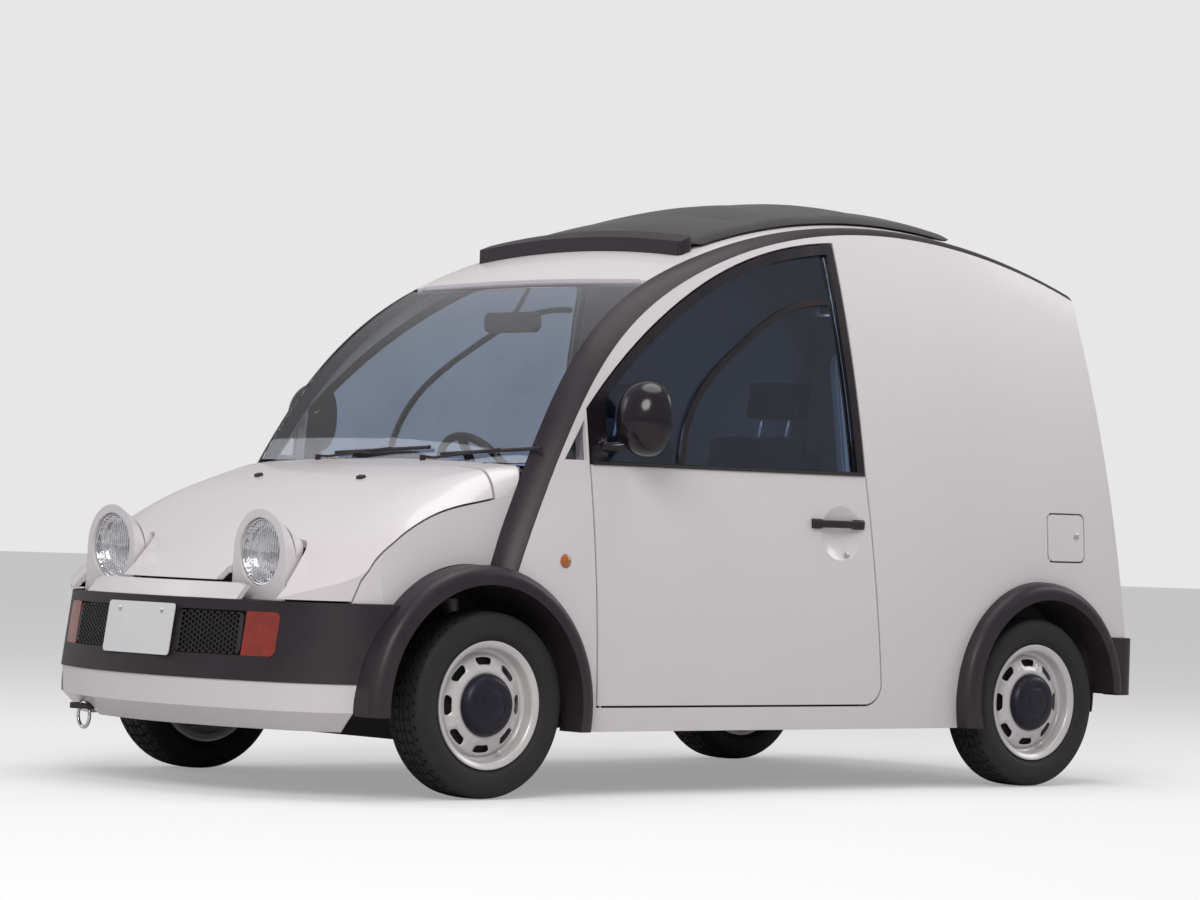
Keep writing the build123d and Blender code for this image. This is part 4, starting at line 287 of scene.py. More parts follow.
weaveGroup.links.new(mathNode(weaveGroup, "ADD", shifted, 0.5, True), groupOut.inputs["Mask"])


def placeGroup(tree, group, values):
    node = tree.nodes.new("ShaderNodeGroup")
    node.node_tree = group
    for key, value in values.items():
        node.inputs[key].default_value = value
    return node


def mixColor(tree, mask, first, second):
    node = addNode(tree, "ShaderNodeMix", {"data_type": "RGBA"})
    tree.links.new(mask, node.inputs[0])
    for index, value in ((6, first), (7, second)):
        if isinstance(value, tuple):
            node.inputs[index].default_value = (*value, 1)
        else:
            tree.links.new(value, node.inputs[index])
    return node.outputs[2]


def rangeOf(tree, mask, low, high):
    node = addNode(tree, "ShaderNodeMapRange", values={"To Min": low, "To Max": high})
    tree.links.new(mask, node.inputs[0])
    return node.outputs[0]


# what a finish is unless its own row says otherwise
plainFinish = {
    "color": (0.5, 0.5, 0.5),
    "second": (0.45, 0.45, 0.45),
    "cloudSize": 3.0,
    "cloudContrast": 2.0,
    "roughness": (0.35, 0.5),
    "metallic": 0.0,
    "coat": 0.0,
    "coatRoughness": 0.08,
    "specular": 0.5,
    "grainSize": 700.0,
    "grainDepth": 0.00008,
    "dustHeight": 0.5,
    "dustAmount": 0.0,
    "dustColor": (0.33, 0.30, 0.27),
    "dustRougher": 0.4,
    "scuffs": 0.0,
    "scuffSize": 24.0,
    "scuffShare": 0.64,
    "scuffColor": (0.5, 0.5, 0.5),
    "scuffRougher": 0.25,
    "weave": 0.0,
    "weaveDarker": 0.62,
    "weaveShare": 0.55,
    "sheen": 0.0,
    "rounded": 0.0,
    "roundedSamples": 4,
}


def makeFinish(name, changes):
    values = {**plainFinish, **changes}
    material = bpy.data.materials.new(name)
    material.use_nodes = True
    tree = material.node_tree
    shader = tree.nodes["Principled BSDF"]
    shader.inputs["Metallic"].default_value = values["metallic"]
    shader.inputs["Specular IOR Level"].default_value = values["specular"]
    shader.inputs["Coat Weight"].default_value = values["coat"]
    shader.inputs["Coat Roughness"].default_value = values["coatRoughness"]
    shader.inputs["Sheen Weight"].default_value = values["sheen"]
    cloudNode = placeGroup(
        tree, cloudGroup, {"Size": values["cloudSize"], "Contrast": values["cloudContrast"]}
    )
    color = mixColor(tree, cloudNode.outputs[0], values["color"], values["second"])
    roughness = rangeOf(tree, cloudNode.outputs[0], *values["roughness"])
    if values["scuffs"]:
        scuffNode = placeGroup(
            tree, scuffGroup, {"Size": values["scuffSize"], "Share": values["scuffShare"]}
        )
        scuffMask = mathNode(tree, "MULTIPLY", scuffNode.outputs[0], values["scuffs"])
        color = mixColor(tree, scuffMask, color, values["scuffColor"])
        rougher = mathNode(tree, "MULTIPLY", scuffMask, values["scuffRougher"])
        roughness = mathNode(tree, "ADD", roughness, rougher, True)
    if values["dustAmount"]:
        dustNode = placeGroup(
            tree, dustGroup, {"Height": values["dustHeight"], "Amount": values["dustAmount"]}
        )
        color = mixColor(tree, dustNode.outputs[0], color, values["dustColor"])
        rougher = mathNode(tree, "MULTIPLY", dustNode.outputs[0], values["dustRougher"])
        roughness = mathNode(tree, "ADD", roughness, rougher, True)
    grainNode = placeGroup(tree, grainGroup, {"Size": values["grainSize"]})
    height = grainNode.outputs[0]
    if values["weave"]:
        weaveNode = placeGroup(tree, weaveGroup, {"Threads": values["weave"]})
        darker = tuple(values["weaveDarker"] * channel for channel in values["color"])
        threadMask = mathNode(tree, "MULTIPLY", weaveNode.outputs["Mask"], values["weaveShare"])
        color = mixColor(tree, threadMask, color, darker)
        height = mathNode(tree, "ADD", height, weaveNode.outputs["Height"])
    bump = addNode(
        tree, "ShaderNodeBump", values={"Strength": 1.0, "Distance": values["grainDepth"]}
    )
    tree.links.new(height, bump.inputs["Height"])
    if values["rounded"]:
        edges = addNode(
            tree,
            "ShaderNodeBevel",
            {"samples": values["roundedSamples"]},
            {"Radius": values["rounded"]},
        )
        tree.links.new(edges.outputs[0], bump.inputs["Normal"])
    tree.links.new(color, shader.inputs["Base Color"])
    tree.links.new(roughness, shader.inputs["Roughness"])
    tree.links.new(bump.outputs[0], shader.inputs["Normal"])
    return material


finishes = {
    "whitePaint": {
        "color": (0.70, 0.665, 0.68),
        "second": (0.665, 0.625, 0.65),
        "cloudSize": 1.3,
        "roughness": (0.30, 0.38),
        "coat": 0.45,
        "grainSize": 420.0,
        "grainDepth": 0.000012,
        "dustHeight": 0.42,
        "dustAmount": 0.10,
        "rounded": 0.0022,
    },
    "darkPlastic": {
        "color": (0.020, 0.015, 0.020),
        "second": (0.030, 0.023, 0.029),
        "cloudSize": 5.0,
        "roughness": (0.34, 0.44),
        "specular": 0.28,
        "grainSize": 1500.0,
        "grainDepth": 0.00003,
        "dustHeight": 0.6,
        "dustAmount": 0.12,
        "scuffs": 0.06,
        "scuffColor": (0.12, 0.11, 0.12),
        "rounded": 0.0022,
    },
    # the white paint made darker: painted shade on the lip over the windscreen, also used for the bars
    # behind the headlamp lenses
    "shadedWhitePaint": {
        "color": (0.46, 0.42, 0.48),
        "second": (0.42, 0.38, 0.44),
        "cloudSize": 3.0,
        "roughness": (0.30, 0.38),
        "coat": 0.3,
        "grainSize": 700.0,
        "grainDepth": 0.00001,
    },
    "glossPlastic": {
        "color": (0.008, 0.006, 0.009),
        "second": (0.014, 0.010, 0.014),
        "specular": 0.3,
        "cloudSize": 7.0,
        "roughness": (0.16, 0.24),
        "coat": 0.3,
        "grainSize": 900.0,
        "grainDepth": 0.000008,
    },
    "grillePlastic": {
        "color": (0.016, 0.014, 0.017),
        "second": (0.026, 0.023, 0.026),
        "cloudSize": 22.0,
        "roughness": (0.38, 0.52),
        "grainSize": 1800.0,
        "grainDepth": 0.00003,
    },
    "rubberSeal": {
        "color": (0.010, 0.010, 0.011),
        "second": (0.017, 0.016, 0.017),
        "cloudSize": 14.0,
        "roughness": (0.55, 0.7),
        "grainSize": 1300.0,
        "grainDepth": 0.00004,
    },
    "tyreRubber": {
        "color": (0.014, 0.013, 0.014),
        "second": (0.024, 0.022, 0.022),
        "cloudSize": 11.0,
        "roughness": (0.6, 0.8),
        "specular": 0.35,
        "grainSize": 900.0,
        "grainDepth": 0.00009,
        "dustHeight": 0.9,
        "dustAmount": 0.10,
        "dustColor": (0.10, 0.09, 0.08),
    },
    "wheelPaint": {
        "color": (0.66, 0.64, 0.64),
        "second": (0.58, 0.56, 0.57),
        "cloudSize": 9.0,
        "roughness": (0.30, 0.42),
        "metallic": 0.25,
        "coat": 0.35,
        "grainSize": 1100.0,
        "grainDepth": 0.00001,
        "dustHeight": 0.5,
        "dustAmount": 0.08,
        "scuffs": 0.05,
        "scuffColor": (0.36, 0.35, 0.35),
    },
    "capPlastic": {
        "color": (0.010, 0.008, 0.017),
        "second": (0.016, 0.013, 0.024),
        "cloudSize": 15.0,
        "roughness": (0.34, 0.42),
        "specular": 0.3,
        "grainSize": 1500.0,
        "grainDepth": 0.00002,
    },
    "canvas": {
        "color": (0.020, 0.018, 0.022),
        "second": (0.034, 0.030, 0.035),
        "cloudSize": 4.0,
        "roughness": (0.72, 0.88),
        "specular": 0.25,
        "grainSize": 600.0,
        "grainDepth": 0.0002,
        "weave": 2400.0,
        "sheen": 0.25,
    },
    "seatCloth": {
        "color": (0.050, 0.052, 0.066),
        "second": (0.072, 0.074, 0.090),
        "cloudSize": 16.0,
        "roughness": (0.8, 0.95),
        "specular": 0.2,
        "grainSize": 500.0,
        "grainDepth": 0.00035,
        "weave": 1500.0,
        "sheen": 0.3,
    },
    "cabinPlastic": {
        "color": (0.040, 0.038, 0.044),
        "second": (0.054, 0.052, 0.058),
        "cloudSize": 6.0,
        "roughness": (0.5, 0.62),
        "grainSize": 1100.0,
        "grainDepth": 0.00006,
    },
    "platePaint": {
        "color": (0.74, 0.735, 0.75),
        "second": (0.68, 0.675, 0.70),
        "cloudSize": 10.0,
        "roughness": (0.3, 0.42),
        "grainSize": 1900.0,
        "grainDepth": 0.000015,
        "coat": 0.2,
    },
    "underPaint": {
        "color": (0.012, 0.011, 0.011),
        "second": (0.030, 0.026, 0.024),
        "cloudSize": 7.0,
        "roughness": (0.6, 0.85),
        "grainSize": 380.0,
        "grainDepth": 0.0003,
        "dustHeight": 0.8,
        "dustAmount": 0.25,
        "dustColor": (0.10, 0.085, 0.07),
    },
    "castMetal": {
        "color": (0.34, 0.335, 0.33),
        "second": (0.22, 0.215, 0.21),
        "cloudSize": 12.0,
        "roughness": (0.45, 0.65),
        "metallic": 0.85,
        "grainSize": 480.0,
        "grainDepth": 0.0002,
        "scuffs": 0.25,
        "scuffColor": (0.12, 0.10, 0.09),
    },
    "pipeSteel": {
        "color": (0.30, 0.27, 0.25),
        "second": (0.17, 0.13, 0.11),
        "cloudSize": 9.0,
        "roughness": (0.4, 0.7),
        "metallic": 0.8,
        "grainSize": 700.0,
        "grainDepth": 0.0001,
        "scuffs": 0.3,
        "scuffColor": (0.14, 0.07, 0.04),
    },
    "brightMetal": {
        "color": (0.78, 0.78, 0.79),
        "second": (0.68, 0.68, 0.69),
        "cloudSize": 30.0,
        "roughness": (0.10, 0.22),
        "metallic": 1.0,
        "grainSize": 1500.0,
        "grainDepth": 0.00001,
    },
    "reflector": {
        "color": (0.60, 0.62, 0.68),
        "second": (0.50, 0.52, 0.59),
        "cloudSize": 40.0,
        "roughness": (0.24, 0.36),
        "metallic": 1.0,
        "grainSize": 900.0,
        "grainDepth": 0.00001,
    },
}
paints = {name: makeFinish(name, changes) for name, changes in finishes.items()}


plainGlass = {
    "index": 1.45,
    "color": (0.9, 0.9, 0.9),
    "shadow": (0.9, 0.9, 0.9),
    "darker": 0.9,
    "cloudSize": 4.0,
    "cloudContrast": 2.4,
    "roughness": 0.0,
    "streaks": 0.02,
    "waveSize": 14.0,
    "waveDepth": 0.00002,
    "ribs": 0.0,
    "ribDepth": 0.0022,
}


def makeGlass(name, changes):
    # light falls through it, so that the cabin isn't black
    values = {**plainGlass, **changes}
    material = bpy.data.materials.new(name)
    material.use_nodes = True
    tree = material.node_tree
    shader = tree.nodes["Principled BSDF"]
    shader.inputs["Transmission Weight"].default_value = 1.0
    shader.inputs["IOR"].default_value = values["index"]
    cloudNode = placeGroup(
        tree, cloudGroup, {"Size": values["cloudSize"], "Contrast": values["cloudContrast"]}
    )
    darker = tuple(values["darker"] * channel for channel in values["color"])
    color = mixColor(tree, cloudNode.outputs[0], values["color"], darker)
    tree.links.new(color, shader.inputs["Base Color"])
    streaked = values["roughness"] + values["streaks"]
    roughness = rangeOf(tree, cloudNode.outputs[0], values["roughness"], streaked)
    tree.links.new(roughness, shader.inputs["Roughness"])
    waves = placeGroup(tree, grainGroup, {"Size": values["waveSize"]})
    bump = addNode(tree, "ShaderNodeBump", values={"Strength": 1.0, "Distance": values["waveDepth"]})
    tree.links.new(waves.outputs[0], bump.inputs["Height"])
    if values["ribs"]:
        coordinateNode = addNode(tree, "ShaderNodeTexCoord")
        ribWave = addNode(tree, "ShaderNodeTexWave", values={"Scale": values["ribs"]})
        tree.links.new(coordinateNode.outputs["Object"], ribWave.inputs["Vector"])
        ribBump = addNode(
            tree, "ShaderNodeBump", values={"Strength": 1.0, "Distance": values["ribDepth"]}
        )
        tree.links.new(ribWave.outputs["Fac"], ribBump.inputs["Height"])
        tree.links.new(bump.outputs[0], ribBump.inputs["Normal"])
        bump = ribBump
    tree.links.new(bump.outputs[0], shader.inputs["Normal"])
    path = tree.nodes.new("ShaderNodeLightPath")
    clear = addNode(tree, "ShaderNodeBsdfTransparent", values={"Color": (*values["shadow"], 1)})
    blend = tree.nodes.new("ShaderNodeMixShader")
    tree.links.new(path.outputs["Is Shadow Ray"], blend.inputs[0])
    tree.links.new(shader.outputs[0], blend.inputs[1])
    tree.links.new(clear.outputs[0], blend.inputs[2])
    tree.links.new(blend.outputs[0], tree.nodes["Material Output"].inputs[0])
    return material


glasses = {
    "screenGlass": {"color": (0.62, 0.63, 0.66), "shadow": (0.42, 0.42, 0.44)},
    "sideGlass": {"color": (0.30, 0.37, 0.50), "shadow": (0.16, 0.19, 0.24)},
    "lampGlass": {
        "color": (0.97, 0.98, 1.0),
        "shadow": (0.92, 0.93, 0.96),
        "roughness": 0.01,
        "ribs": 34.0,
    },
}
for glassName, changes in glasses.items():
    paints[glassName] = makeGlass(glassName, changes)

# coloured lenses: each zone starts at a distance from the middle of the van
plainLens = {
    "transmission": 0.35,
    "coat": 0.6,
    "coatRoughness": 0.06,
    "cloudSize": 28.0,
    "cloudContrast": 2.5,
    "darker": 0.72,
    "roughness": (0.16, 0.28),
    "ribStrength": 0.8,
    "ribDepth": 0.0008,
}


def makeLens(name, changes):
    values = {**plainLens, **changes}
    material = bpy.data.materials.new(name)
    material.use_nodes = True
    tree = material.node_tree
    shader = tree.nodes["Principled BSDF"]
    shader.inputs["Transmission Weight"].default_value = values["transmission"]
    shader.inputs["Coat Weight"].default_value = values["coat"]
    shader.inputs["Coat Roughness"].default_value = values["coatRoughness"]
    coordinateNode = addNode(tree, "ShaderNodeTexCoord")
    axesNode = addNode(tree, "ShaderNodeSeparateXYZ")
    tree.links.new(coordinateNode.outputs["Object"], axesNode.inputs[0])
    distance = mathNode(tree, "ABSOLUTE", axesNode.outputs["X"], 0.0)
    cloudNode = placeGroup(
        tree, cloudGroup, {"Size": values["cloudSize"], "Contrast": values["cloudContrast"]}
    )
    color = None
    for start, tone in values["zones"]:
        darker = tuple(values["darker"] * channel for channel in tone)
        toned = mixColor(tree, cloudNode.outputs[0], tone, darker)
        if color is None:
            color = toned
        else:
            beyond = mathNode(tree, "GREATER_THAN", distance, start)
            color = mixColor(tree, beyond, color, toned)
    tree.links.new(color, shader.inputs["Base Color"])
    roughness = rangeOf(tree, cloudNode.outputs[0], *values["roughness"])
    tree.links.new(roughness, shader.inputs["Roughness"])
    wave = addNode(tree, "ShaderNodeTexWave", {"bands_direction": "Z"}, {"Scale": values["ribs"]})
    tree.links.new(coordinateNode.outputs["Object"], wave.inputs["Vector"])
    bump = addNode(
        tree,
        "ShaderNodeBump",
        values={"Strength": values["ribStrength"], "Distance": values["ribDepth"]},
    )
    tree.links.new(wave.outputs["Fac"], bump.inputs["Height"])
    tree.links.new(bump.outputs[0], shader.inputs["Normal"])
    return material


lenses = {
    "turnLens": {
        "zones": [(0.0, (0.42, 0.035, 0.018)), (0.70, (0.62, 0.17, 0.02))],
        "ribs": 38.0,
    },
    "tailLens": {
        "zones": [
            (0.0, (0.60, 0.60, 0.58)),
            (0.515, (0.72, 0.22, 0.02)),
            (0.575, (0.45, 0.012, 0.010)),
        ],
        "ribs": 30.0,
    },
}
for lensName, changes in lenses.items():
    paints[lensName] = makeLens(lensName, changes)
print("finishes made:", len(paints))

# which finish a node takes, when it keeps its own shape
slotPaint = {
    "white_paint": "whitePaint",
    "dark_plastic": "darkPlastic",
    "grille_plastic": "grillePlastic",
    "clear_glass": "screenGlass",
    "tinted_glass": "sideGlass",
    "lamp_glass": "lampGlass",
    "indicator_lens": "turnLens",
    "rear_lens": "tailLens",
    "canvas": "canvas",
    "seat_cloth": "seatCloth",
    "cabin_plastic": "cabinPlastic",
    "plate_paint": "platePaint",
    "under_paint": "underPaint",
    "cast_metal": "castMetal",
    "pipe_steel": "pipeSteel",
    "wheel_paint": "wheelPaint",
    "tyre_rubber": "tyreRubber",
}
for node in nodes.values():
    for materialSlot in node.material_slots:
        slotName = materialSlot.material.name.split(".")[0]
        materialSlot.material = paints[slotPaint[slotName]]


sides = {"left": 1, "right": -1}


def boxOf(nodeName):
    low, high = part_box(nodeName)
    return Vector(low), Vector(high)


def treeOf(nodeName):
    # a node's surface, to find places on it
    shape = bmesh.new()
    shape.from_mesh(nodes[nodeName].data)
    tree = BVHTree.FromBMesh(shape)
    shape.free()
    return tree


def everything(shape):
    return shape.verts[:] + shape.edges[:] + shape.faces[:]


def edgesOf(items):
    return [item for item in items if isinstance(item, bmesh.types.BMEdge)]


def finishPiece(name, shape, body, paint, sharp=38, second=None):
    # the shape becomes a piece on a body, smooth except at its sharp edges
    mesh = bpy.data.meshes.new(name)
    shape.to_mesh(mesh)
    shape.free()
    mesh.materials.append(paints[paint])
    if second:
        mesh.materials.append(paints[second])
    mesh.shade_smooth()
    mesh.set_sharp_from_angle(angle=math.radians(sharp))
    made = bpy.data.objects.new(name, mesh)
    scene.collection.objects.link(made)
    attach(made, body)
    return made


def addThickness(piece, thickness, offset):
    wall = piece.modifiers.new("wall", "SOLIDIFY")
    wall.thickness = thickness
    wall.offset = offset


def addSmoothing(piece, levels):
    smooth = piece.modifiers.new("smooth", "SUBSURF")
    smooth.levels = smooth.render_levels = levels


def onSide(shape, sign):
    # a shape made for the left goes over to the right where the sign is negative
    if sign < 0:
        bmesh.ops.scale(shape, vec=(-1, 1, 1), verts=shape.verts)
        bmesh.ops.reverse_faces(shape, faces=shape.faces)


def bothSides(shape):
    # adds the mirror image of all that is there
    copied = bmesh.ops.duplicate(shape, geom=everything(shape))["geom"]
    verts = [item for item in copied if isinstance(item, bmesh.types.BMVert)]
    faces = [item for item in copied if isinstance(item, bmesh.types.BMFace)]
    bmesh.ops.scale(shape, vec=(-1, 1, 1), verts=verts)
    bmesh.ops.reverse_faces(shape, faces=faces)


def spinProfile(shape, points, steps, place=Matrix.Identity(4)):
    # points are (along, radius) about the local X axis, then the ring is put in its place
    start = [shape.verts.new((along, 0, radius)) for along, radius in points]
    edges = [shape.edges.new(pair) for pair in zip(start, start[1:])]
    earlier = set(shape.verts) - set(start)
    bmesh.ops.spin(
        shape,
        geom=start + edges,
        cent=(0, 0, 0),
        axis=(1, 0, 0),
        angle=math.tau,
        steps=steps,
        use_merge=True,
    )
    ring = [vert for vert in shape.verts if vert not in earlier]
    bmesh.ops.remove_doubles(shape, verts=ring, dist=0.01 * mm)
    ring = [vert for vert in shape.verts if vert not in earlier]
    faces = list({face for vert in ring for face in vert.link_faces})
    bmesh.ops.recalc_face_normals(shape, faces=faces)
    bmesh.ops.transform(shape, matrix=place, verts=ring)
    return ring


def bevelAndPlace(shape, made, edges, bevel, segments, place):
    # softens the edges of a new solid, then puts it in its place
    faces = bmesh.ops.bevel(
        shape, geom=edges, offset=bevel, affect="EDGES", segments=segments, profile=0.5, material=-1
    )["faces"]
    verts = {vert for face in faces for vert in face.verts}
    verts |= {vert for vert in made if vert.is_valid}
    bmesh.ops.transform(shape, matrix=place, verts=list(verts))


def roundedBox(shape, size, place, bevel, segments=3):
    made = bmesh.ops.create_cube(shape, size=1)["verts"]
    bmesh.ops.scale(shape, vec=size, verts=made)
    edges = list({edge for vert in made for edge in vert.link_edges})
    bevelAndPlace(shape, made, edges, bevel, segments, place)


def roundPeg(shape, radius, length, place, bevel, segments=24):
    # a short cylinder along local Z with softened ends
    made = bmesh.ops.create_cone(
        shape, cap_ends=True, segments=segments, radius1=radius, radius2=radius, depth=length
    )["verts"]
    edges = {edge for vert in made for edge in vert.link_edges}
    rims = [edge for edge in edges if abs(edge.verts[0].co.z - edge.verts[1].co.z) < length / 9]
    bevelAndPlace(shape, made, rims, bevel, 2, place)


def skinRows(shape, rows, closed=False):
    # a skin over rows of vertices, with flat ends unless the last row meets the first
    for first, second in zip(rows, rows[1:] + rows[:1] if closed else rows[1:]):
        for index in range(len(first)):
            after = (index + 1) % len(first)
            shape.faces.new((first[index], second[index], second[after], first[after]))
    if not closed:
        shape.faces.new(rows[0])
        shape.faces.new(rows[-1][::-1])
    bmesh.ops.recalc_face_normals(shape, faces=shape.faces)


def facing(place, direction):
    # local Z turned to a direction, at a place
    turn = Vector(direction).to_track_quat("Z", "Y").to_matrix().to_4x4()
    return Matrix.Translation(place) @ turn


def rodBetween(shape, radius, start, end, bevel, segments=24):
    run = Vector(end) - Vector(start)
    middle = (Vector(start) + Vector(end)) / 2
    roundPeg(shape, radius, run.length, facing(middle, run), bevel, segments)


# tyres and wheels, made about the middle of the hub, with local X pointing outwards
tyre = {
    "steps": 144,
    "cutEvery": 3,
    "cutBeyond": 0.2655,
    "cutArea": 0.00008,
    "cutInset": 0.0030,
    "cutDepth": 0.0056,
    "middleRibs": 0.03,
}
tyreOutline = [
    (0.0600, 0.1690),
    (0.0606, 0.1840),
    (0.0612, 0.1885),
    (0.0640, 0.1930),
    (0.0676, 0.1960),
    (0.0700, 0.1985),
    (0.0722, 0.2030),
    (0.0728, 0.2038),
    (0.0738, 0.2040),
    (0.0756, 0.2120),
    (0.0772, 0.2200),
    (0.0774, 0.2290),
    (0.0768, 0.2390),
    (0.0764, 0.2396),
    (0.0762, 0.2420),
    (0.0756, 0.2428),
    (0.0742, 0.2500),
    (0.0722, 0.2560),
    (0.0690, 0.2612),
    (0.0640, 0.2652),
    (0.0590, 0.2672),
    (0.0440, 0.2688),
    (0.0400, 0.2690),
    (0.0392, 0.2625),
    (0.0348, 0.2625),
    (0.0340, 0.2693),
    (0.0160, 0.2699),
    (0.0120, 0.2699),
    (0.0112, 0.2625),
    (0.0068, 0.2625),
    (0.0060, 0.2700),
]
wheel = {
    "hubX": 0.690,
    "windows": 8,
    "perWindow": 8,
    "windowSteps": 4,
    "windowLow": 0.1160,
    "windowHigh": 0.1375,
    "widenOuter": 1.22,
    "widenInner": 0.92,
    "sheet": 0.0035,
    "ridgeRise": 0.0050,
    "ridgeRadius": 0.124,
    "ridgeBand": 0.020,
    "spokeRise": 0.0020,
}
valve = {
    "radius": 0.0042,
    "length": 0.034,
    "middle": (0.036, 0.058, -0.1395),
    "direction": (0.86, -0.2, 0.47),
    "bevel": 0.001,
}
# place outwards and radius of the disc's rings, from the rim well to below the hub cap
discRings = [
    (0.0060, 0.1495),
    (0.0180, 0.1478),
    (0.0250, 0.1440),
    (0.0275, 0.1405),
    (0.0285, 0.1375),
    (0.0360, 0.1160),
    (0.0395, 0.1120),
    (0.0415, 0.1080),
    (0.0450, 0.1020),
    (0.0465, 0.0960),
    (0.0440, 0.0900),
    (0.0400, 0.0700),
]
rimOutline = [
    (0.0560, 0.1740),
    (0.0605, 0.1840),
    (0.0612, 0.1850),
    (0.0640, 0.1852),
    (0.0662, 0.1846),
    (0.0670, 0.1832),
    (0.0668, 0.1812),
    (0.0650, 0.1770),
    (0.0620, 0.1715),
    (0.0590, 0.1672),
    (0.0560, 0.1650),
    (0.0500, 0.1638),
    (0.0300, 0.1625),
    (0.0260, 0.1610),
    (0.0220, 0.1560),
    (0.0190, 0.1500),
    (0.0150, 0.1470),
    (0.0080, 0.1455),
    (-0.0240, 0.1440),
    (-0.0300, 0.1500),
    (-0.0360, 0.1600),
    (-0.0600, 0.1620),
    (-0.0668, 0.1780),
    (-0.0665, 0.1848),
    (-0.0605, 0.1850),
    (-0.0600, 0.1700),
    (-0.0320, 0.1660),
    (-0.0220, 0.1500),
    (0.0080, 0.1500),
    (0.0200, 0.1640),
    (0.0560, 0.1680),
    (0.0560, 0.1740),
]
capOutline = [
    (0.0440, 0.0900),
    (0.0500, 0.0912),
    (0.0530, 0.0908),
    (0.0610, 0.0880),
    (0.0690, 0.0830),
    (0.0745, 0.0760),
    (0.0768, 0.0680),
    (0.0780, 0.0560),
    (0.0786, 0.0460),
    (0.0784, 0.0452),
    (0.0778, 0.0446),
    (0.0784, 0.0438),
    (0.0792, 0.0420),
    (0.0798, 0.0200),
    (0.0800, 0.0),
]
drumOutline = [
    (-0.016, 0.022),
    (-0.016, 0.136),
    (-0.012, 0.140),
    (0.004, 0.140),
    (0.009, 0.136),
    (0.012, 0.100),
    (0.014, 0.022),
    (-0.016, 0.022),
]
turnedParts = {
    "rim": {
        "outline": rimOutline,
        "steps": 96,
        "paint": "wheelPaint",
        "slot": "wheel_paint",
        "sharp": 40,
    },
    "cap": {
        "outline": capOutline,
        "steps": 72,
        "paint": "capPlastic",
        "slot": "dark_plastic",
        "sharp": 40,
    },
    "drum": {
        "outline": drumOutline,
        "steps": 48,
        "paint": "underPaint",
        "slot": "under_paint",
        "sharp": 30,
    },
}


def tyreShape():
    shape = bmesh.new()
    points = tyreOutline + [(-along, radius) for along, radius in reversed(tyreOutline)]
    spinProfile(shape, points + points[:1], tyre["steps"])
    # cross cuts in the tread ribs, staggered between the middle and the shoulders
    step = math.tau / tyre["steps"]
    cuts = []
    for face in shape.faces:
        middle = face.calc_center_median()
        number = int((math.atan2(middle.z, middle.y) % math.tau) / step)
        stagger = 0 if abs(middle.x) < tyre["middleRibs"] else 1
        tread = math.hypot(middle.y, middle.z) > tyre["cutBeyond"]
        wide = face.calc_area() > tyre["cutArea"]
        if tread and wide and (number + stagger) % tyre["cutEvery"] == 0:
            cuts.append(face)
    bmesh.ops.inset_individual(
        shape, faces=cuts, thickness=tyre["cutInset"], depth=-tyre["cutDepth"]
    )
    return shape


def discShape():
    shape = bmesh.new()
    steps = wheel["windows"] * wheel["perWindow"]
    spinProfile(shape, discRings, steps)
    pitch = math.tau / wheel["windows"]
    half = math.pi / steps * wheel["windowSteps"]
    holes = []
    for face in shape.faces:
        middle = face.calc_center_median()
        radius = math.hypot(middle.y, middle.z)
        away = (math.atan2(middle.z, middle.y) + pitch / 2) % pitch - pitch / 2
        if wheel["windowLow"] < radius < wheel["windowHigh"] and abs(away) < half:
            holes.append(face)
    bmesh.ops.delete(shape, geom=holes, context="FACES")
    # windows wider outside than inside, with pressed ridges beside them
    windowEdges = (
        (wheel["windowHigh"], wheel["widenOuter"]),
        (wheel["windowLow"], wheel["widenInner"]),
    )
    for vert in shape.verts:
        radius = math.hypot(vert.co.y, vert.co.z)
        angle = math.atan2(vert.co.z, vert.co.y)
        away = (angle + pitch / 2) % pitch - pitch / 2
        for edgeRadius, widen in windowEdges:
            if abs(away) < half * 1.2 and abs(radius - edgeRadius) < mm:
                turned = angle + away * (widen - 1)
                vert.co.y = radius * math.cos(turned)
                vert.co.z = radius * math.sin(turned)
        between = max(0.0, -math.cos(wheel["windows"] * angle))
        band = max(0.0, 1 - abs(radius - wheel["ridgeRadius"]) / wheel["ridgeBand"])
        rise = wheel["ridgeRise"] * 4 * between * (1 - between) + wheel["spokeRise"] * between
        vert.co.x += rise * min(1.0, 2 * band)
    return shape


hubs = {}
for end in ("front", "rear"):
    for side, sign in sides.items():
        low, high = boxOf(f"tyre_{end}_{side}")
        middle = (low + high) / 2
        hubs[end, side] = Vector((sign * wheel["hubX"], middle.y, middle.z))


def wheelPiece(end, side, name, shape, paint, sharp):
    onSide(shape, sides[side])
    bmesh.ops.translate(shape, vec=hubs[end, side], verts=shape.verts)
    return finishPiece(name, shape, f"{end}_{side}_wheel", paint, sharp=sharp)


for end, side in hubs:
    tyreNode = f"tyre_{end}_{side}"
    tread = wheelPiece(
        end, side, f"{tyreNode}_tread", tyreShape(), "tyreRubber", 28
    )
    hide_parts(tyreNode)

    wheelNode = f"wheel_{end}_{side}"
    disc = wheelPiece(
        end, side, f"{wheelNode}_disc", discShape(), "wheelPaint", 80
    )
    addThickness(disc, wheel["sheet"], 0)
    addSmoothing(disc, 2)
    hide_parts(wheelNode)

    for partName, part in turnedParts.items():
        shape = bmesh.new()
        spinProfile(shape, part["outline"], part["steps"])
        if partName == "rim":
            valvePlace = facing(valve["middle"], valve["direction"])
            roundPeg(shape, valve["radius"], valve["length"], valvePlace, valve["bevel"], 12)
        name = f"{wheelNode}_{partName}"
        wheelPiece(end, side, name, shape, part["paint"], part["sharp"])
print("wheels and tyres made")

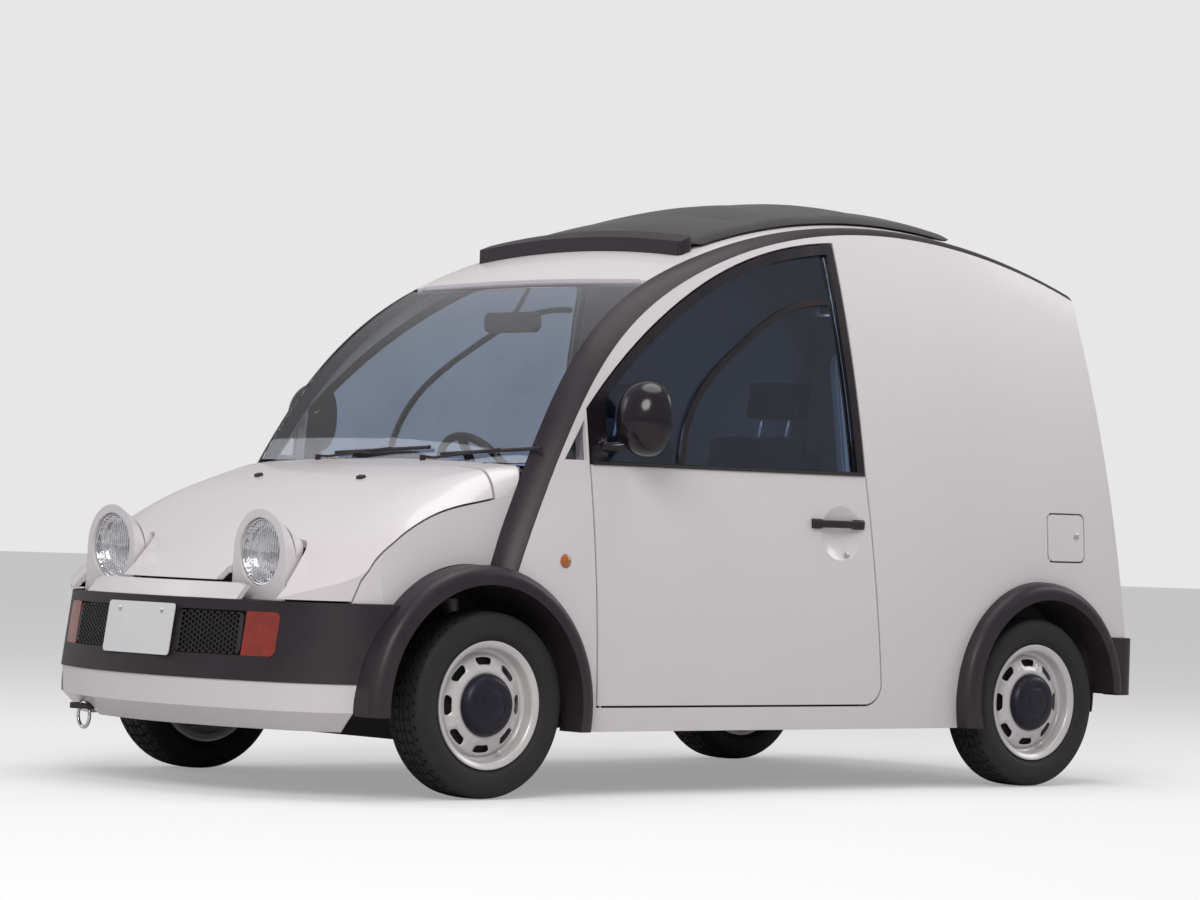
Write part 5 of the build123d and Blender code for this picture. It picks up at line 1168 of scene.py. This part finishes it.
# headlamps: local X is the lamp's axis, pointing out of the pod
lamp = {
    "middle": (0.373, -1.576, 0.690),
    "lean": 0.0,
    "scale": 0.953,
    "bowlSteps": 72,
    "bulbSteps": 24,
}
lean = math.radians(lamp["lean"])
lampTurn = Matrix(
    (
        (0, -1, 0, 0),
        (-math.cos(lean), 0, math.sin(lean), 0),
        (math.sin(lean), 0, math.cos(lean), 0),
        (0, 0, 0, 1),
    )
)
lampPlace = Matrix.Translation(lamp["middle"]) @ lampTurn
lampPlace = lampPlace @ Matrix.Diagonal((1, lamp["scale"], lamp["scale"], 1))
bowlOutline = [
    (-0.014, 0.0965),
    (-0.020, 0.0930),
    (-0.032, 0.0800),
    (-0.044, 0.0580),
    (-0.051, 0.0350),
    (-0.054, 0.0160),
    (-0.0545, 0.0100),
    (-0.0575, 0.0),
    (-0.0580, 0.0300),
    (-0.0560, 0.0530),
    (-0.026, 0.1005),
    (-0.014, 0.1005),
    (-0.014, 0.0965),
]
ringOutline = [
    (-0.016, 0.0945),
    (-0.011, 0.0950),
    (-0.0080, 0.0962),
    (-0.0074, 0.0978),
    (-0.0082, 0.0996),
    (-0.012, 0.1008),
    (-0.020, 0.1010),
    (-0.020, 0.0965),
    (-0.016, 0.0945),
]
bulbOutline = [
    (-0.056, 0.0),
    (-0.055, 0.009),
    (-0.042, 0.0095),
    (-0.034, 0.0125),
    (-0.028, 0.0115),
    (-0.024, 0.006),
    (-0.023, 0.0),
]


def lampPiece(name, shape, paint, sharp=40):
    bothSides(shape)
    return finishPiece(name, shape, "chassis", paint, sharp=sharp)


shape = bmesh.new()
spinProfile(shape, bowlOutline, lamp["bowlSteps"], lampPlace)
bowls = lampPiece("headlamp_bowls", shape, "reflector")
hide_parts("headlamps")

ringScrews = {"angles": (20, 140, 260), "out": -0.0082, "around": 0.0985, "radius": 0.0035}
shape = bmesh.new()
spinProfile(shape, ringOutline, lamp["bowlSteps"], lampPlace)
for angle in ringScrews["angles"]:
    turned = math.radians(angle)
    across = ringScrews["around"] * math.sin(turned)
    up = ringScrews["around"] * math.cos(turned)
    screwPlace = lampPlace @ facing((ringScrews["out"], across, up), (1, 0, 0))
    roundPeg(shape, ringScrews["radius"], 0.004, screwPlace, 0.0008, 12)
lampPiece("headlamp_rims", shape, "brightMetal")

# lens with upright flutes on its inner face, shallower in a band across the middle
lens = {
    "radius": 0.0955,
    "rings": 16,
    "steps": 96,
    "front": -0.0042,
    "bulge": 0.0105,
    "edgeTurn": 0.0012,
    "thickness": 0.0042,
    "backShare": 0.985,
    "innerFace": 0.003,
    "flutePitch": 0.0125,
    "fluteDepth": 0.0011,
    "fluteReach": 0.93,
    "bandHalf": 0.024,
    "bandShare": 0.4,
}
shape = bmesh.new()
lensFront = []
for ring in range(lens["rings"] + 1):
    share = ring / lens["rings"]
    along = lens["front"] - lens["bulge"] * share**2 - lens["edgeTurn"] * share**6
    lensFront.append((along, lens["radius"] * share))
lensBack = [
    (along - lens["thickness"], radius * lens["backShare"]) for along, radius in reversed(lensFront)
]
for vert in spinProfile(shape, lensFront + lensBack, lens["steps"]):
    share = math.hypot(vert.co.y, vert.co.z) / lens["radius"]
    inner = lens["front"] - lens["bulge"] * share**2 - lens["innerFace"]
    if vert.co.x < inner and share < lens["fluteReach"]:
        wave = abs(math.sin(math.pi * vert.co.y / lens["flutePitch"]))
        band = lens["bandShare"] if abs(vert.co.z) < lens["bandHalf"] else 1.0
        vert.co.x -= lens["fluteDepth"] * wave * band
bmesh.ops.transform(shape, matrix=lampPlace, verts=shape.verts)
lampPiece("headlamp_lenses", shape, "lampGlass", sharp=60)

# bright bars behind the lens
bars = {"span": 0.150, "heights": (0.030, -0.030), "across": (-0.045, 0.0, 0.045), "bevel": 0.0006}
shape = bmesh.new()
for height in bars["heights"]:
    barPlace = lampPlace @ Matrix.Translation((-0.022, 0, height))
    roundedBox(shape, (0.002, bars["span"], 0.0022), barPlace, bars["bevel"], 1)
for across in bars["across"]:
    barPlace = lampPlace @ Matrix.Translation((-0.023, across, 0))
    roundedBox(shape, (0.002, 0.0018, bars["span"]), barPlace, bars["bevel"], 1)
lampPiece("headlamp_steps", shape, "shadedWhitePaint")

shape = bmesh.new()
spinProfile(shape, bulbOutline, lamp["bulbSteps"], lampPlace)
lampPiece("headlamp_bulbs", shape, "brightMetal")

sideLight = {"middle": (-0.030, -0.040, 0.004), "size": (0.010, 0.026, 0.020), "bevel": 0.004}
shape = bmesh.new()
sidePlace = lampPlace @ Matrix.Translation(sideLight["middle"])
roundedBox(shape, sideLight["size"], sidePlace, sideLight["bevel"])
lampPiece("headlamp_side_lights", shape, "turnLens")
print("headlamps made")

# doors: window frame, belt seal, mirror, handle and lock
windowFrame = {"cutX": 0.7245, "above": 0.95, "weld": 0.00002, "sharp": 25}
beltSeal = {
    "y": (-0.636, 0.474),
    "z": (0.9715, 0.9815),
    "skinZ": 0.966,
    "reach": 0.0035,
    "depth": 0.008,
    "tilt": 0.001,
    "steps": 24,
}
doorMirror = {
    "x": 0.806,
    "z": 1.113,
    "backY": -0.490,
    "width": 0.190,
    "height": 0.224,
    "bowlDepth": 0.094,
    "cutY": 0.012,
    "fullness": 0.10,
    "rimWidth": 0.006,
    "glassBevel": 0.002,
    "glassDepth": 0.005,
    "armStart": (0.706, -0.596, 1.022),
    "armEnd": (0.790, -0.520, 1.036),
    "armRadius": 0.014,
    "footRadius": 0.021,
    "footLength": 0.022,
}
doorHandle = {
    "y": (0.243, 0.461),
    "z": 0.821,
    "skinY": 0.25,
    "off": 0.008,
    "lean": 0.074,
    "bar": (0.010, 0.218, 0.023),
    "feet": ((0.263, 0.040), (0.439, 0.044)),
    "footOff": 0.004,
}
doorLock = {
    "y": 0.393,
    "z": 0.723,
    "off": 0.0005,
    "collar": (0.0125, 0.004, 0.0012),
    "barrel": (0.0088, 0.006, 0.0008),
    "keyway": (0.0015, 0.009, 0.001),
}
sideTree = treeOf("door_left")


def skinX(y, z):
    # outer skin of the left side at a place
    return sideTree.ray_cast(Vector((2, y, z)), Vector((-1, 0, 0)))[0].x


def keepIslands(shape, wanted):
    # deletes the loose parts whose box the test doesn't want
    left = set(shape.verts)
    while left:
        start = left.pop()
        island, queue = {start}, [start]
        while queue:
            for edge in queue.pop().link_edges:
                for vert in edge.verts:
                    if vert not in island:
                        island.add(vert)
                        queue.append(vert)
        left -= island
        low = [min(vert.co[axis] for vert in island) for axis in range(3)]
        high = [max(vert.co[axis] for vert in island) for axis in range(3)]
        if not wanted(low, high):
            bmesh.ops.delete(shape, geom=list(island), context="VERTS")


def aboveBelt(low, high):
    return high[2] > windowFrame["above"]


def frameShape(side, sign):
    # the door's frame without its handle, cut off where the plain mirror starts
    shape = bmesh.new()
    shape.from_mesh(nodes[f"door_trim_{side}"].data)
    bmesh.ops.remove_doubles(shape, verts=shape.verts, dist=windowFrame["weld"])
    keepIslands(shape, aboveBelt)
    cut = bmesh.ops.bisect_plane(
        shape,
        geom=everything(shape),
        plane_co=(sign * windowFrame["cutX"], 0, 0),
        plane_no=(sign, 0, 0),
        clear_outer=True,
    )
    bmesh.ops.holes_fill(shape, edges=edgesOf(cut["geom_cut"]))
    return shape


def beltShape():
    shape = bmesh.new()
    (startY, endY), (lowZ, highZ) = beltSeal["y"], beltSeal["z"]
    rows = []
    for step in range(beltSeal["steps"] + 1):
        y = startY + (endY - startY) * step / beltSeal["steps"]
        outer = skinX(y, beltSeal["skinZ"]) + beltSeal["reach"]
        inner = outer - beltSeal["depth"]
        corners = ((inner, lowZ), (outer, lowZ), (outer - beltSeal["tilt"], highZ), (inner, highZ))
        rows.append([shape.verts.new((x, y, z)) for x, z in corners])
    skinRows(shape, rows)
    return shape


def mirrorShape():
    # round housing, fuller than a ball towards its rim, with its glass set in
    shape = bmesh.new()
    bmesh.ops.create_uvsphere(shape, u_segments=48, v_segments=32, radius=1)
    for vert in shape.verts:
        full = 1 - doorMirror["fullness"] * (abs(vert.co.x) * abs(vert.co.z)) ** 1.5
        vert.co.x /= full
        vert.co.z /= full
    size = (doorMirror["width"] / 2, doorMirror["bowlDepth"], doorMirror["height"] / 2)
    bmesh.ops.scale(shape, vec=size, verts=shape.verts)
    cutY = doorMirror["cutY"]
    cut = bmesh.ops.bisect_plane(
        shape,
        geom=everything(shape),
        plane_co=(0, cutY, 0),
        plane_no=(0, 1, 0),
        clear_outer=True,
    )
    rim = edgesOf(cut["geom_cut"])
    face = bmesh.ops.contextual_create(shape, geom=rim)["faces"][0]
    bmesh.ops.inset_region(shape, faces=[face], thickness=doorMirror["rimWidth"], depth=0.0)
    bmesh.ops.inset_region(
        shape, faces=[face], thickness=doorMirror["glassBevel"], depth=-doorMirror["glassDepth"]
    )
    face.material_index = 1
    place = (doorMirror["x"], doorMirror["backY"] - cutY, doorMirror["z"])
    bmesh.ops.translate(shape, vec=place, verts=shape.verts)
    bmesh.ops.recalc_face_normals(shape, faces=shape.faces)
    # short arm down to the panel at the foot of the frame
    start = Vector(doorMirror["armStart"])
    rodBetween(shape, doorMirror["armRadius"], start, doorMirror["armEnd"], 0.003)
    footPlace = facing(start + Vector((0.004, 0, 0)), (1, 0, 0))
    roundPeg(shape, doorMirror["footRadius"], doorMirror["footLength"], footPlace, 0.005)
    return shape


def handleShape():
    # bar over its hollow, with a foot at each end
    shape = bmesh.new()
    barLean = Matrix.Rotation(doorHandle["lean"], 4, "Y")
    barX = skinX(doorHandle["skinY"], doorHandle["z"]) + doorHandle["off"]
    barPlace = Matrix.Translation((barX, sum(doorHandle["y"]) / 2, doorHandle["z"]))
    roundedBox(shape, doorHandle["bar"], barPlace @ barLean, 0.0035)
    for footY, length in doorHandle["feet"]:
        footPlace = Matrix.Translation((barX - doorHandle["footOff"], footY, doorHandle["z"]))
        roundedBox(shape, (0.016, length, 0.030), footPlace @ barLean, 0.004)
    return shape


def lockShape():
    shape = bmesh.new()
    lockX = skinX(doorLock["y"], doorLock["z"]) + doorLock["off"]
    lockPlace = facing((lockX, doorLock["y"], doorLock["z"]), (1, 0, 0.05))
    for part in ("collar", "barrel"):
        radius, height, bevel = doorLock[part]
        roundPeg(shape, radius, height, lockPlace, bevel)
    keyPlace = lockPlace @ Matrix.Translation((0, 0, 0.0031))
    roundedBox(shape, doorLock["keyway"], keyPlace, 0.0002, 1)
    return shape


def doorPiece(side, name, shape, paint, sharp=38, second=None):
    onSide(shape, sides[side])
    finishPiece(f"{name}_{side}", shape, f"{side}_door", paint, sharp, second)


for side, sign in sides.items():
    framePiece = finishPiece(
        f"window_frame_{side}",
        frameShape(side, sign),
        f"{side}_door",
        "glossPlastic",
        sharp=windowFrame["sharp"],
    )
    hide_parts(f"door_trim_{side}")
    doorPiece(side, "belt_seal", beltShape(), "rubberSeal", sharp=30)
    doorPiece(side, "mirror", mirrorShape(), "glossPlastic", second="brightMetal")
    doorPiece(side, "door_handle", handleShape(), "darkPlastic")
    doorPiece(side, "door_lock", lockShape(), "brightMetal")
print("door fittings made")

# small outside fittings
jet = {"x": 0.254, "y": -1.129, "size": (0.026, 0.020, 0.011), "off": 0.004, "bevel": 0.0035}
jetHit = treeOf("bonnet").ray_cast(Vector((jet["x"], jet["y"], 2)), Vector((0, 0, -1)))
shape = bmesh.new()
jetPlace = facing(jetHit[0] + Vector((0, 0, jet["off"])), jetHit[1])
roundedBox(shape, jet["size"], jetPlace, jet["bevel"])
bothSides(shape)
finishPiece("washer_jets", shape, "bonnet_lid", "grillePlastic")

lidLock = {
    "y": 1.429,
    "z": 0.806,
    "off": 0.0005,
    "pegs": ((0.0115, 0.004, 0.001), (0.0080, 0.006, 0.0008)),
}
lidHit = treeOf("fuel_lid").ray_cast(
    Vector((2, lidLock["y"], lidLock["z"])), Vector((-1, 0, 0))
)
lidPlace = facing(lidHit[0] + lidHit[1] * lidLock["off"], lidHit[1])
shape = bmesh.new()
for radius, height, bevel in lidLock["pegs"]:
    roundPeg(shape, radius, height, lidPlace, bevel)
finishPiece("fuel_lid_lock", shape, "fuel_cover", "brightMetal")

plateBolts = {"apart": (0.105, -0.105), "up": 0.052, "off": 0.0008}
plates = {
    "front": {"outwards": -1, "normal": (0, -0.989, 0.149), "body": "chassis"},
    "rear": {"outwards": 1, "normal": (0, 0.989, 0.145), "body": "rear_door"},
}
for end, plate in plates.items():
    plateTree = treeOf(f"number_plate_{end}")
    low, high = boxOf(f"number_plate_{end}")
    boltZ = (low.z + high.z) / 2 + plateBolts["up"]
    outwards, normal = plate["outwards"], Vector(plate["normal"])
    shape = bmesh.new()
    for x in plateBolts["apart"]:
        hit = plateTree.ray_cast(Vector((x, outwards * 2, boltZ)), Vector((0, -outwards, 0)))[0]
        boltPlace = facing(hit + normal * plateBolts["off"], normal)
        roundPeg(shape, 0.0075, 0.0035, boltPlace, 0.001, 16)
        roundPeg(shape, 0.0042, 0.0055, boltPlace, 0.0006, 6)
    name = f"plate_bolts_{end}"
    finishPiece(name, shape, plate["body"], "brightMetal", sharp=30)

towLoop = {
    "middle": (-0.359, -1.662, 0.186),
    "across": 0.030,
    "down": 0.036,
    "wire": 0.0055,
    "steps": 32,
    "around": 10,
}
shape = bmesh.new()
rings = []
for step in range(towLoop["steps"]):
    turn = math.tau * step / towLoop["steps"]
    out = Vector((math.cos(turn), 0, math.sin(turn)))
    centre = Vector((out.x * towLoop["across"], 0, out.z * towLoop["down"]))
    centre += Vector(towLoop["middle"])
    ring = []
    for part in range(towLoop["around"]):
        angle = math.tau * part / towLoop["around"]
        beside = out * math.cos(angle) + Vector((0, math.sin(angle), 0))
        ring.append(shape.verts.new(centre + beside * towLoop["wire"]))
    rings.append(ring)
skinRows(shape, rings, closed=True)
finishPiece("tow_loop", shape, "chassis", "brightMetal", sharp=40)
print("small fittings made")

# tailgate fittings
tailHandle = {"z": 0.846, "off": 0.006, "bar": (0.150, 0.030, 0.014), "base": (0.174, 0.052, 0.003)}
plateLamps = {"x": 0.085, "z": 0.742, "off": 0.006, "size": (0.062, 0.026, 0.016)}
tailLock = {"x": 0.105, "off": 0.0005, "pegs": ((0.0125, 0.004), (0.0088, 0.006))}
tailTree = treeOf("tailgate")


def tailPlace(x, z, lift=0.0):
    # local Z points out of the tailgate
    hit, normal = tailTree.ray_cast(Vector((x, 3, z)), Vector((0, -1, 0)))[:2]
    return facing(hit + normal * lift, normal)


shape = bmesh.new()
roundedBox(shape, tailHandle["bar"], tailPlace(0, tailHandle["z"], tailHandle["off"]), 0.005)
roundedBox(shape, tailHandle["base"], tailPlace(0, tailHandle["z"]), 0.001)
for sign in sides.values():
    lampSpot = tailPlace(sign * plateLamps["x"], plateLamps["z"], plateLamps["off"])
    roundedBox(shape, plateLamps["size"], lampSpot, 0.004)
finishPiece("tailgate_handle", shape, "rear_door", "darkPlastic")

shape = bmesh.new()
for radius, height in tailLock["pegs"]:
    lockPlace = tailPlace(tailLock["x"], tailHandle["z"], tailLock["off"])
    roundPeg(shape, radius, height, lockPlace, 0.0008)
finishPiece("tailgate_lock", shape, "rear_door", "brightMetal")

# lip over the windscreen, along the front edge of the roof, in the white paint made darker as painted
# shade
lip = {
    "half": 0.548,
    "front": -0.3035,
    "back": -0.2,
    "depth": 0.026,
    "height": 0.029,
    "ahead": 0.002,
    "drop": 0.0125,
    "stations": 48,
    "around": 16,
    "endTaper": 0.05,
    "endSize": 0.02,
}
roofTree = treeOf("roof_panel")
down = Vector((0, 0, -1))
shape = bmesh.new()
rows = []
for station in range(lip["stations"] + 1):
    share = 2 * station / lip["stations"] - 1
    x = lip["half"] * share
    y = lip["front"]
    hit = None
    while hit is None and y < lip["back"]:
        y += mm
        hit = roofTree.ray_cast(Vector((x, y, 3)), down)[0]
    further = roofTree.ray_cast(Vector((x, y + 0.03, 3)), down)[0]
    along = (further - hit).normalized()
    above = Vector((0, -along.z, along.y)).normalized()
    taper = min(1.0, (1 - abs(share)) / lip["endTaper"]) ** 0.5 + lip["endSize"]
    middle = hit + along * lip["ahead"] - above * lip["drop"]
    row = []
    for step in range(lip["around"]):
        turn = math.tau * step / lip["around"]
        ahead = -along * math.cos(turn) * lip["depth"] / 2 * taper
        lift = above * math.sin(turn) * lip["height"] / 2 * taper
        row.append(shape.verts.new(middle + ahead + lift))
    rows.append(row)
skinRows(shape, rows)
finishPiece("screen_lip", shape, "chassis", "shadedWhitePaint", sharp=50)
print("lip made")

# folding top: one sheet over its bows, with its edges turned down
top = {
    "acrossCells": 40,
    "alongCells": 56,
    "bows": (0.10, 0.36, 0.62, 0.88),
    "bowReach": 0.13,
    "sag": 0.006,
    "inset": 0.002,
    "corner": 0.04,
    "castInset": 0.0015,
    "castShare": 0.996,
    "under": 0.0025,
    "crease": 0.0016,
    "edgeWidth": 0.022,
    "edgeDrop": 0.018,
    "cloth": 0.0018,
}
topLow, topHigh = boxOf("canvas_top")
topTree = treeOf("canvas_top")
halfWidth = (topHigh.x - topLow.x) / 2 - top["inset"]
halfLength = (topHigh.y - topLow.y) / 2 - top["inset"]
middleY = (topHigh.y + topLow.y) / 2
shape = bmesh.new()
bmesh.ops.create_grid(
    shape, x_segments=top["acrossCells"], y_segments=top["alongCells"], size=0.5
)
for vert in shape.verts:
    across, along = vert.co.x * 2, vert.co.y * 2
    x, y = across * halfWidth, along * halfLength
    castX = min(abs(x), halfWidth - top["castInset"]) * (1 if x > 0 else -1)
    castY = max(-halfLength + top["castInset"], min(halfLength - top["castInset"], y))
    # corners follow the rounded outline
    cornerX = max(0, abs(x) - (halfWidth - top["corner"]))
    cornerY = max(0, abs(y) - (halfLength - top["corner"]))
    far = math.hypot(cornerX, cornerY)
    if far > top["corner"] and cornerX and cornerY:
        pull = top["corner"] / far
        x = math.copysign(halfWidth - top["corner"] + cornerX * pull, x)
        y = math.copysign(halfLength - top["corner"] + cornerY * pull, y)
        castX, castY = x * top["castShare"], y * top["castShare"]
    hit = topTree.ray_cast(Vector((castX, middleY + castY, 3)), down)[0]
    surface = hit.z if hit else topHigh.z - 0.05
    # sag between the bows, creases and turned-down edges
    nearest = min(abs((along + 1) / 2 - bow) for bow in top["bows"])
    between = min(1.0, nearest / top["bowReach"])
    inner = max(0.0, 1 - abs(across) ** 6)
    sag = top["sag"] * between * between * inner
    crease = top["crease"] * noise.noise(Vector((x * 5, (middleY + y) * 16, 0.3))) * inner
    edge = min(halfWidth - abs(x), halfLength - abs(y))
    fall = max(0.0, 1 - edge / top["edgeWidth"])
    z = surface - top["under"] - sag + crease - top["edgeDrop"] * fall * fall
    vert.co = (x, middleY + y, z)
bmesh.ops.recalc_face_normals(shape, faces=shape.faces)
canvasPiece = finishPiece("canvas_cloth", shape, "chassis", "canvas", sharp=60)
addThickness(canvasPiece, top["cloth"], -1)
addSmoothing(canvasPiece, 1)
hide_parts("canvas_top")
print("folding top made")

# seats: crowned pads with two sewn channels, on their frames
seat = {"middle": 0.350, "fill": 0.75}
pads = {
    "cushion": {"y": (-0.196, 0.296), "z": (0.405, 0.540), "half": 0.240, "lean": 4.0},
    "back": {"y": (0.300, 0.420), "z": (0.490, 1.100), "half": 0.236, "lean": -8.5},
    "headrest": {"y": (0.412, 0.484), "z": (1.146, 1.262), "half": 0.122, "lean": -6.0},
}
padForm = {
    "cuts": 11,
    "crownPower": 2.6,
    "pullIn": 0.045,
    "pullPower": 8,
    "edgeSwell": 0.66,
    "lowSwell": 0.72,
    "swellPower": 0.55,
    "channelAt": 0.58,
    "channelWidth": 0.05,
    "channelDepth": 0.09,
    "cornerPull": 0.06,
}


def padShape(pad, middleX):
    # a closed form, crowned over its thickness and pulled in between its corners
    shape = bmesh.new()
    bmesh.ops.create_cube(shape, size=2)
    bmesh.ops.subdivide_edges(
        shape, edges=shape.edges[:], cuts=padForm["cuts"], use_grid_fill=True
    )
    sizeY = (pad["y"][1] - pad["y"][0]) / 2
    sizeZ = (pad["z"][1] - pad["z"][0]) / 2
    lying = sizeZ < sizeY
    for vert in shape.verts:
        x, y, z = vert.co
        thick, level = (z, y) if lying else (y, z)
        edge = max(abs(x), abs(level))
        crown = (1 - abs(x) ** padForm["crownPower"]) * (1 - abs(level) ** padForm["crownPower"])
        rise = (1 - padForm["lowSwell"]) * max(0.0, crown) ** padForm["swellPower"]
        swell = padForm["lowSwell"] + rise if edge < 0.999 else padForm["edgeSwell"]
        away = (abs(x) - padForm["channelAt"]) / padForm["channelWidth"]
        channel = padForm["channelDepth"] * math.exp(-(away**2)) * (crown > 0)
        thick *= swell - channel
        corner = 1 - padForm["cornerPull"] * (abs(x) * abs(level)) ** 4
        waist = 1 - padForm["pullIn"] * (1 - abs(x) ** 2) * abs(level) ** padForm["pullPower"]
        flank = 1 - padForm["pullIn"] * (1 - abs(level) ** 2) * abs(x) ** padForm["pullPower"]
        x *= flank * corner
        level *= waist * corner
        y, z = (level, thick) if lying else (thick, level)
        vert.co = (x * pad["half"], y * sizeY, z * sizeZ)
    padLean = Matrix.Rotation(math.radians(pad["lean"]), 4, "X")
    middle = (middleX, sum(pad["y"]) / 2, sum(pad["z"]) / 2)
    bmesh.ops.transform(shape, matrix=Matrix.Translation(middle) @ padLean, verts=shape.verts)
    bmesh.ops.recalc_face_normals(shape, faces=shape.faces)
    return shape


for side, sign in sides.items():
    for padName, pad in pads.items():
        shape = padShape(pad, sign * seat["middle"])
        name = f"seat_{padName}_{side}"
        padPiece = finishPiece(name, shape, "chassis", "seatCloth", sharp=70)
        addSmoothing(padPiece, 1)

seatFrame = {
    "rodsApart": (-0.0625, 0.0625),
    "rodRadius": 0.0065,
    "rodFoot": (0.425, 1.070),
    "rodTop": (0.447, 1.180),
    "tray": (0.44, 0.40, 0.012),
    "trayMiddle": (0.350, 0.05, 0.408),
}
shape = bmesh.new()
for apart in seatFrame["rodsApart"]:
    foot = (seat["middle"] + apart, *seatFrame["rodFoot"])
    head = (seat["middle"] + apart, *seatFrame["rodTop"])
    rodBetween(shape, seatFrame["rodRadius"], foot, head, 0.001, 12)
roundedBox(shape, seatFrame["tray"], Matrix.Translation(seatFrame["trayMiddle"]), 0.004)
bothSides(shape)
seatFrames = finishPiece("seat_frames", shape, "chassis", "brightMetal")
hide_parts("seats")
print("seats made")

# cabin fittings: hood over the dials, vents, radio panel and the steering wheel's pad
dash = {
    "hood": (0.330, 0.130, 0.085),
    "hoodMiddle": (-0.330, -0.545, 0.955),
    "hoodLean": -0.25,
    "vent": (0.110, 0.010, 0.055),
    "ventX": (-0.560, -0.100, 0.100, 0.560),
    "ventPlace": (-0.4425, 0.870),
    "panel": (0.180, 0.010, 0.052),
    "panelMiddle": (0.0, -0.4360, 0.812),
}
shape = bmesh.new()
hoodPlace = Matrix.Translation(dash["hoodMiddle"]) @ Matrix.Rotation(dash["hoodLean"], 4, "X")
roundedBox(shape, dash["hood"], hoodPlace, 0.028, 4)
for ventX in dash["ventX"]:
    roundedBox(shape, dash["vent"], Matrix.Translation((ventX, *dash["ventPlace"])), 0.004)
roundedBox(shape, dash["panel"], Matrix.Translation(dash["panelMiddle"]), 0.003)
finishPiece("dash_fittings", shape, "chassis", "cabinPlastic")

steeringPad = {
    "centre": (-0.330, -0.200, 0.905),
    "rake": 28,
    "lift": 0.016,
    "radius": 0.050,
    "height": 0.020,
    "bevel": 0.007,
}
rake = math.radians(steeringPad["rake"])
column = Vector((0, math.cos(rake), math.sin(rake)))
padPlace = facing(Vector(steeringPad["centre"]) + column * steeringPad["lift"], column)
shape = bmesh.new()
roundPeg(shape, steeringPad["radius"], steeringPad["height"], padPlace, steeringPad["bevel"], 40)
finishPiece("steering_pad", shape, "steering", "cabinPlastic")
print("cabin made")
